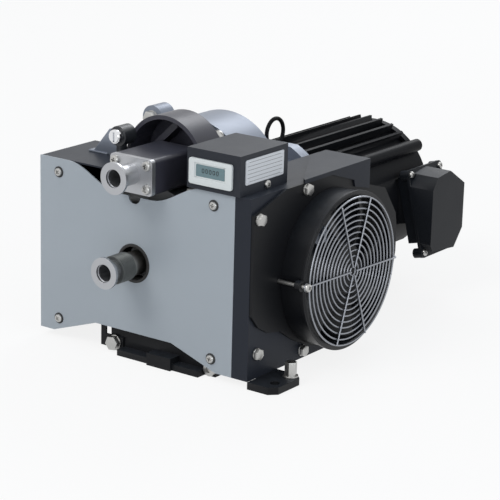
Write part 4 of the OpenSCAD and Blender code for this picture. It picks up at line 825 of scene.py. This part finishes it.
def machine_bolts():
    """Hexagon bolts with washers, pan heads on the inlet flange and a standoff on the foot."""
    washer_r, washer_t, across, head = 5.6 * MM, 1.6 * MM, 10 * MM, 4 * MM
    thin_t = washer_t * 0.5
    duct_side, on_floor, foot_top, tall = 125 * MM, 5 * MM, 7 * MM, 16 * MM
    sideways, inlet, inner, upright = [], [], [], []
    for number, (low, high) in enumerate(solids_of("m6_bolts")):
        at = middle((low, high))
        spin = random.Random(number + M6_SEED).uniform(0, math.tau)
        if low.z < on_floor:
            upright.append((at, low, high, spin))
        elif low.x > duct_side:
            sideways.append(facing(TO_FAN_SIDE, (high.x - washer_t - head, at.y, at.z), spin))
        else:
            group = inlet if low.y < 0 else inner
            group.append(facing(TO_FRONT, (at.x, low.y + washer_t + head, at.z), spin))
    shapes = [
        (bolt_shape(across, head, washer_r, washer_t), sideways + inner),
        (rod_shape(3 * MM, 9 * MM), set_back(sideways + inner, 8.6 * MM)),
        (pan_shape(4.6 * MM, 3.2 * MM), inlet),
        (rod_shape(3 * MM, 12 * MM), set_back(inlet, 11.6 * MM)),
    ]
    for at, low, high, spin in upright:
        if high.z - low.z > tall:
            place = facing(UPWARD, (at.x, at.y, foot_top), 0.3)
            shapes.append((standoff_shape(high.z - foot_top), [place]))
        else:
            place = facing(UPWARD, (at.x, at.y, high.z - head - thin_t), spin)
            shapes.append((bolt_shape(across, head, washer_r, thin_t), [place]))
        shapes.append((rod_shape(3 * MM, 6.5 * MM), [facing(UPWARD, (at.x, at.y, 1 * MM))]))
    stand_for(copies("machine_bolt_set", shapes), "m6_bolts")


def large_bolts():
    """Hexagon bolts of the base, the crankcase and the motor flange, and round socket heads."""
    washer_t, across, head, shank = 1.6 * MM, 13 * MM, 5.3 * MM, 12 * MM
    near_cover, behind_case, round_width = 20 * MM, 150 * MM, 14 * MM
    front, back, plain = [], [], []
    for number, (low, high) in enumerate(solids_of("m8_bolts")):
        at = middle((low, high))
        spin = random.Random(number + M8_SEED).uniform(0, math.tau)
        if high.z - low.z < round_width and low.y < near_cover:
            plain.append(facing(TO_FRONT, (at.x, high.y - 5 * MM, at.z), spin))
        elif low.y > behind_case:
            back.append(facing(TO_REAR, (at.x, high.y - washer_t - head, at.z), spin))
        else:
            front.append(facing(TO_FRONT, (at.x, low.y + washer_t + head, at.z), spin))
    round_head = bmesh.new()
    turned(round_head, in_mm([
        (0, 0), (6.4, 0), (6.4, 3.8), (5.6, 4.6), (3, 4.8), (2.6, 2), (0, 2),
    ]))
    stand_for(copies("large_bolt_set", [
        (bolt_shape(across, head, 7.3 * MM, washer_t), front + back),
        (rod_shape(4 * MM, shank), set_back(front + back, 0.96 * shank)),
        (round_head, plain),
        (rod_shape(4 * MM, 5.4 * MM), set_back(plain, 5 * MM)),
    ]), "m8_bolts")


def side_screws():
    """Pan heads of the fan guard and of the terminal box lid."""
    low, high = box_of("guard_screw")
    at = middle((low, high))
    head_at, shank = high.x - SCREW_HEAD_H, high.x - low.x - SCREW_HEAD_H
    stand_for(copies("guard_screw_with_cross", [
        (pan_shape(SCREW_HEAD_R, SCREW_HEAD_H), [facing(TO_FAN_SIDE, (head_at, at.y, at.z), 0.4)]),
        (rod_shape(2 * MM, shank), [facing(TO_FAN_SIDE, (low.x, at.y, at.z))]),
    ]), "guard_screw")
    tilt, motor_z, lid_out = math.radians(14), 93, 91.5
    out = Vector((math.cos(tilt), 0, math.sin(tilt)))
    up = Vector((-math.sin(tilt), 0, math.cos(tilt)))
    places = [
        facing(out, (Vector((0, y, motor_z)) + out * lid_out + up * w) * MM, y + w)
        for y in (345.8, 401.2) for w in (-70.8, 11.3)
    ]
    stand_for(copies("lid_screws_with_cross", [
        (pan_shape(3.5 * MM, SCREW_HEAD_H), places),
        (rod_shape(2 * MM, 9 * MM), set_back(places, 8.9 * MM)),
    ]), "terminal_box_screws")


# Meter box

WINDOW_SINK = 0.9 * MM
FIGURE_SIZE = 6.4 * MM
FIGURE_RELIEF = 0.06 * MM


def sunk_window(bm, low, high, inset, sink):
    """Fits an inset of the front face to a window and pushes it in."""
    face = min((f for f in bm.faces if f.normal.y < -0.9), key=lambda f: f.calc_center_median().y)
    bmesh.ops.inset_individual(bm, faces=[face], thickness=inset)
    xs, zs = [v.co.x for v in face.verts], [v.co.z for v in face.verts]
    left, right, bottom, top = min(xs), max(xs), min(zs), max(zs)
    for vert in face.verts:
        vert.co.x = low.x + (vert.co.x - left) / (right - left) * (high.x - low.x)
        vert.co.z = low.z + (vert.co.z - bottom) / (top - bottom) * (high.z - low.z)
    bmesh.ops.inset_individual(bm, faces=[face], thickness=0.3 * MM)
    bmesh.ops.translate(bm, vec=(0, sink, 0), verts=list(face.verts))


def digits_shape(text, center):
    """Raised counter figures that face the front."""
    curve = bpy.data.curves.new("figures", "FONT")
    curve.body = text
    curve.size = FIGURE_SIZE
    curve.extrude = FIGURE_RELIEF
    curve.resolution_u = 3
    curve.align_x = "CENTER"
    curve.align_y = "CENTER"
    curve.space_character = 1.25
    figures = bpy.data.objects.new("figures", curve)
    bpy.context.scene.collection.objects.link(figures)
    bpy.context.view_layer.update()
    graph = bpy.context.evaluated_depsgraph_get()
    mesh = bpy.data.meshes.new_from_object(figures.evaluated_get(graph))
    bm = bmesh.new()
    bm.from_mesh(mesh)
    stood_up = Matrix.Translation(center) @ Matrix.Rotation(math.pi / 2, 4, "X")
    bmesh.ops.transform(bm, matrix=stood_up, verts=bm.verts)
    bmesh.ops.remove_doubles(bm, verts=bm.verts, dist=SHAPE_MERGE)
    bpy.data.meshes.remove(mesh)
    bpy.data.objects.remove(figures)
    bpy.data.curves.remove(curve)
    return bm


def hour_meter():
    """A rounded bezel with a sunk window, and counter figures on the window."""
    low, high = box_of("hour_meter")
    glass_low, glass_high = box_of("meter_glass")
    face = box_of("meter_box")[0].y
    widened, side, rim, bite = 3 * MM, 1.4 * MM, 2.05 * MM, 0.2 * MM
    glass_low.x -= widened
    glass_high.x += widened
    frame_low, frame_high = glass_low - Vector((side, 0, side)), glass_high + Vector((side, 0, side))
    bezel = rounded_plate(low, (high.x, face, high.z), 2.4 * MM, edge=0.7 * MM)
    sunk_window(bezel, frame_low, frame_high, 1.6 * MM, WINDOW_SINK)
    back = bmesh.new()
    add_block(
        back, (low.x + rim, face - bite, low.z + rim), (high.x - rim, high.y, high.z - rim), 1 * MM,
    )
    stand_for(joined("hour_meter_bezel", [bezel, back]), "hour_meter")
    seat = low.y + WINDOW_SINK
    window = rounded_plate(
        (glass_low.x, seat - 0.25 * MM, glass_low.z), (glass_high.x, seat + 0.1 * MM, glass_high.z),
        0.8 * MM,
    )
    stand_for(joined("meter_window", [window]), "meter_glass")
    center = (glass_low + glass_high) / 2
    digits = digits_shape("00000", (center.x, seat - 0.28 * MM, center.z))
    ride_with(add_object("counter_figures", digits), "hour_meter", "black_plastic")


def meter_plate():
    """A bare foil plate with ruled lines and a rivet in each corner."""
    low, high = box_of("meter_plate")
    edge = 2.6 * MM
    foil = rounded_plate(low, high, 1.5 * MM, axis=0)
    rivet = bmesh.new()
    turned(rivet, in_mm([(0, -0.1), (1.3, -0.1), (1.2, 0.25), (0.7, 0.55), (0, 0.6)]), 16)
    corners = [
        facing(TO_FAN_SIDE, (high.x, y, z))
        for y in (low.y + edge, high.y - edge) for z in (low.z + edge, high.z - edge)
    ]
    stand_for(copies("meter_foil", [(foil, [AS_DRAWN]), (rivet, corners)]), "meter_plate")
    rules = bmesh.new()
    last_row, half_line, relief = 5, 0.15 * MM, 0.05 * MM
    step = (high.z - low.z - 2 * edge) / last_row
    for row in range(last_row + 1):
        z = low.z + edge + row * step
        inset = 2 * edge if row in (0, last_row) else edge
        add_block(
            rules, (high.x - relief, low.y + inset, z - half_line),
            (high.x + relief, high.y - inset, z + half_line),
        )
    ride_with(joined("meter_foil_rules", [rules]), "meter_plate", "black_plastic")


# Fan, its sizes in mm

FAN_CENTER = Vector((0, 118.3, 91)) * MM
GUARD_WIRE_R = 0.85
GUARD_RING_X = 165.2
GUARD_STAY_X = 166.8
GUARD_FOOT_X = 162.0
GUARD_RINGS = 12
GUARD_INNER_R = 4.2
GUARD_FIRST_R = 9.0
GUARD_LAST_R = 70.5
GUARD_EYE_R = 3.25
EYE_AT = (178, 77.4)
FOOT_AT = (-2, 72.7)
# Direction in degrees and outer end of each stay
GUARD_STAYS = (
    (178, 74.2), FOOT_AT, (70, GUARD_LAST_R), (110, GUARD_LAST_R), (250, GUARD_LAST_R),
    (290, GUARD_LAST_R),
)
BLADES = 7
BLADE_X = 150.5
BLADE_ROOT_R = 26
BLADE_LENGTH = 43
BLADE_CHORD = 30
BLADE_BULGE = 5
BLADE_PITCH = 42
BLADE_TWIST = 16
BLADE_CAMBER = 3.2
BLADE_SWEEP = 0.28
BLADE_THICKNESS = 1.6
HUB_BORE_R = 3.1


def round_the_fan(degrees, radius, x):
    """A place round the fan axis, counted from the rear upwards, and its outward direction."""
    turn = math.radians(degrees)
    out = Vector((0, math.cos(turn), math.sin(turn)))
    return FAN_CENTER + out * radius * MM + Vector((x * MM, 0, 0)), out


def fan_guard():
    """Rings of round wire on six stays, with an eye for its screw and a foot on the barrel."""
    wire_r = GUARD_WIRE_R * MM
    plane = facing(TO_FAN_SIDE, FAN_CENTER + Vector((GUARD_RING_X * MM, 0, 0)))
    shapes = [(ring_shape(GUARD_INNER_R * MM, wire_r, 8, 32), [plane])]
    for i in range(GUARD_RINGS):
        radius = GUARD_FIRST_R + i * (GUARD_LAST_R - GUARD_FIRST_R) / (GUARD_RINGS - 1)
        steps = 48 if i < GUARD_RINGS / 2 else 72
        shapes.append((ring_shape(radius * MM, wire_r, 8, steps), [plane]))
    eye, _ = round_the_fan(*EYE_AT, GUARD_STAY_X)
    shapes.append((ring_shape(GUARD_EYE_R * MM, wire_r, 8, 24), [facing(TO_FAN_SIDE, eye)]))
    for degrees, reach in GUARD_STAYS:
        start, out = round_the_fan(degrees, GUARD_INNER_R, GUARD_STAY_X)
        shapes.append((round_rod(wire_r, (reach - GUARD_INNER_R) * MM), [facing(out, start)]))
    foot, _ = round_the_fan(*FOOT_AT, GUARD_FOOT_X)
    shapes.append((round_rod(1.4 * MM, 4.8 * MM), [facing(TO_FAN_SIDE, foot)]))
    stand_for(copies("guard_of_round_wire", shapes), "fan_guard")


def blade_shape():
    """One cambered blade about X, swept forward and flatter towards its tip."""
    bm = bmesh.new()
    made = bmesh.ops.create_grid(bm, x_segments=10, y_segments=10, size=0.5)["verts"]
    for vert in made:
        along_chord, share = vert.co.x, vert.co.y + 0.5
        radius = (BLADE_ROOT_R + BLADE_LENGTH * share) * MM
        chord = (BLADE_CHORD + BLADE_BULGE * math.sin(math.pi * share)) * MM
        pitch = math.radians(BLADE_PITCH - BLADE_TWIST * share)
        run = along_chord * chord
        crown = BLADE_CAMBER * MM * (1 - 4 * along_chord ** 2)
        axial = run * math.sin(pitch) + crown * math.cos(pitch)
        across = run * math.cos(pitch) - crown * math.sin(pitch)
        turn = across / radius + BLADE_SWEEP * share ** 2
        vert.co = (BLADE_X * MM + axial, radius * math.cos(turn), radius * math.sin(turn))
    bmesh.ops.recalc_face_normals(bm, faces=bm.faces)
    bmesh.ops.solidify(bm, geom=list(bm.faces), thickness=BLADE_THICKNESS * MM)
    bmesh.ops.recalc_face_normals(bm, faces=bm.faces)
    return bm


def fan_impeller():
    """Seven cambered blades on a hub with a rounded cap and a shallow middle."""
    hub = bmesh.new()
    turned(hub, in_mm([
        (HUB_BORE_R, 150), (24.5, 150), (24.5, 146), (27, 146), (27, 154.5), (26.3, 156.6),
        (24.2, 158), (20, 158), (19.4, 157.4), (HUB_BORE_R, 157.4), (HUB_BORE_R, 150),
    ]), 56)
    axis = Matrix.Translation(FAN_CENTER)
    stand_for(copies("impeller_with_curved_blades", [
        (hub, [facing(TO_FAN_SIDE, FAN_CENTER)]),
        (blade_shape(), [axis @ Matrix.Rotation(i * math.tau / BLADES, 4, "X") for i in range(BLADES)]),
    ]), "fan_impeller")


# Outlet

OUTLET_Z = 93 * MM
NECK_R = 10.1 * MM
SLEEVE_LENGTH = 18 * MM
PORT_STEPS = 56


def outlet_radius():
    low, high = box_of("outlet_sleeve")
    return (high.x - low.x) / 2


def outlet_sleeve():
    """A grey sleeve with grooves round it, behind the outlet flange."""
    outer = outlet_radius()
    edge, depth, margin, grooves = 0.5 * MM, 0.45 * MM, 1 * MM, 9
    step = (SLEEVE_LENGTH - 2 * margin) / grooves
    profile = [(NECK_R, 0), (outer - edge, 0), (outer, edge)]
    for i in range(grooves):
        at = margin + i * step
        profile += [
            (outer, at + 0.2 * step), (outer - depth, at + 0.4 * step),
            (outer - depth, at + 0.6 * step), (outer, at + 0.8 * step),
        ]
    profile += [
        (outer, SLEEVE_LENGTH - edge), (outer - edge, SLEEVE_LENGTH), (NECK_R, SLEEVE_LENGTH),
        (NECK_R, 0),
    ]
    sleeve = bmesh.new()
    turned(sleeve, profile, PORT_STEPS)
    place = facing(TO_REAR, (0, box_of("outlet_sleeve")[0].y, OUTLET_Z))
    stand_for(copies("grooved_sleeve", [(sleeve, [place])]), "outlet_sleeve", FINISHES["sleeve_zinc"])


def outlet_collar():
    """The steel collar behind the sleeve, with a wider rim in front."""
    outer = outlet_radius()
    start, end = box_of("outlet_sleeve")[0].y + SLEEVE_LENGTH, box_of("outlet_nut")[1].y
    rim, body, gap, length = outer - 0.9 * MM, outer - 2 * MM, 0.2 * MM, end - start
    collar = bmesh.new()
    turned(collar, [
        (NECK_R, gap), (rim - 0.3 * MM, gap), (rim, 0.6 * MM), (rim, 2.2 * MM), (body, 2.8 * MM),
        (body, length - 0.4 * MM), (body - 0.4 * MM, length), (NECK_R, length), (NECK_R, gap),
    ], PORT_STEPS)
    place = facing(TO_REAR, (0, start, OUTLET_Z))
    stand_for(copies("steel_collar", [(collar, [place])]), "outlet_nut")


def outlet_lip():
    """A thin rubber lip round the hole in the cover."""
    low, high = box_of("outlet_grommet")
    edge = (high.x - low.x) / 2
    inner, outer = edge - 4.2 * MM, edge - 1.3 * MM
    low_z, top_z = 0.6 * MM, 1.1 * MM
    lip = bmesh.new()
    turned(lip, [
        (inner, 0), (outer, 0), (outer, low_z), (edge - 1.7 * MM, top_z), (edge - 3.6 * MM, top_z),
        (inner, low_z), (inner, 0),
    ], PORT_STEPS)
    place = facing(TO_FRONT, (0, 0, OUTLET_Z))
    stand_for(copies("outlet_rubber_lip", [(lip, [place])]), "outlet_grommet")


# Ballast valve and lifting eye

# Outline of the web beside the valve, seen from the front, and its foot, in mm
GUSSET_OUTLINE = ((-86, 178), (-84.5, 178), (-49, 178), (-49, 203), (-56, 205), (-65.5, 203.5))
GUSSET_Y = 42
GUSSET_THICKNESS = 5
GUSSET_FOOT = ((-90, 41, 178), (-67, 50, 179.8))
EYE_CENTER = Vector((0, 221.8, 179)) * MM
EYE_SEAT_Z = 163 * MM


def ballast_knob():
    """A polished knob with a rounded rim and a coin slot, on its pin."""
    at_x, seat_y, at_z = -40 * MM, 18 * MM, 203.5 * MM
    radius, height, slot_depth = 7 * MM, 5.9 * MM, 1.6 * MM
    slot = in_mm(((-4.6, -1), (4.6, -1), (4.6, 1), (-4.6, 1)))
    profile = ((0.76, 1), (0.8, 0.93), (0.9, 0.9), (0.98, 0.8), (1, 0.62), (1, 0.06), (0.96, 0.0))
    head = recessed_head(slot, radius, height, slot_depth, profile, 40)
    place = facing(TO_FRONT, (at_x, seat_y + height, at_z), math.pi / 2)
    stand_for(copies("coin_slot_knob", [
        (head, [place]),
        (rod_shape(3 * MM, 11.5 * MM), set_back([place], 11.4 * MM)),
    ]), "ballast_knob")


def valve_gusset():
    """A sloped cast web with a foot that carries the ballast valve on the case."""
    web = bmesh.new()
    face = web.faces.new([web.verts.new((x * MM, GUSSET_Y * MM, z * MM)) for x, z in GUSSET_OUTLINE])
    grown = bmesh.ops.extrude_face_region(web, geom=[face])["geom"]
    far = [g for g in grown if isinstance(g, bmesh.types.BMVert)]
    bmesh.ops.translate(web, vec=(0, GUSSET_THICKNESS * MM, 0), verts=far)
    bmesh.ops.recalc_face_normals(web, faces=web.faces)
    bevel_edges(web, list(web.edges), 0.7 * MM)
    foot = bmesh.new()
    add_block(foot, *(Vector(corner) * MM for corner in GUSSET_FOOT), 0.5 * MM)
    gusset = joined("ballast_valve_gusset", [web, foot])
    ride_with(gusset, "ballast_valve_body", "crankcase_aluminium")


def lifting_eye():
    """A ring of round bar on a turned collar, screwed into the frame."""
    collar = bmesh.new()
    turned(collar, in_mm([(0, 0), (8.1, 0), (8.1, 1), (7, 1.9), (3.4, 2.6), (0, 2.8)]))
    seat = Matrix.Translation((0, EYE_CENTER.y, EYE_SEAT_Z))
    stand_for(copies("round_lifting_eye", [
        (ring_shape(14.2 * MM, 2.1 * MM, 14, 56), [facing(TO_FAN_SIDE, EYE_CENTER)]),
        (collar, [seat]),
        (rod_shape(3 * MM, 8 * MM), set_back([seat], 7.9 * MM)),
    ]), "lifting_eye")


add_camera()
add_stage()
paint_all_nodes()
round_all_edges()
cover_screws()
machine_bolts()
large_bolts()
side_screws()
screw_rings()
outlet_sleeve()
outlet_collar()
outlet_lip()
hour_meter()
meter_plate()
fan_guard()
fan_impeller()
ballast_knob()
valve_gusset()
lifting_eye()
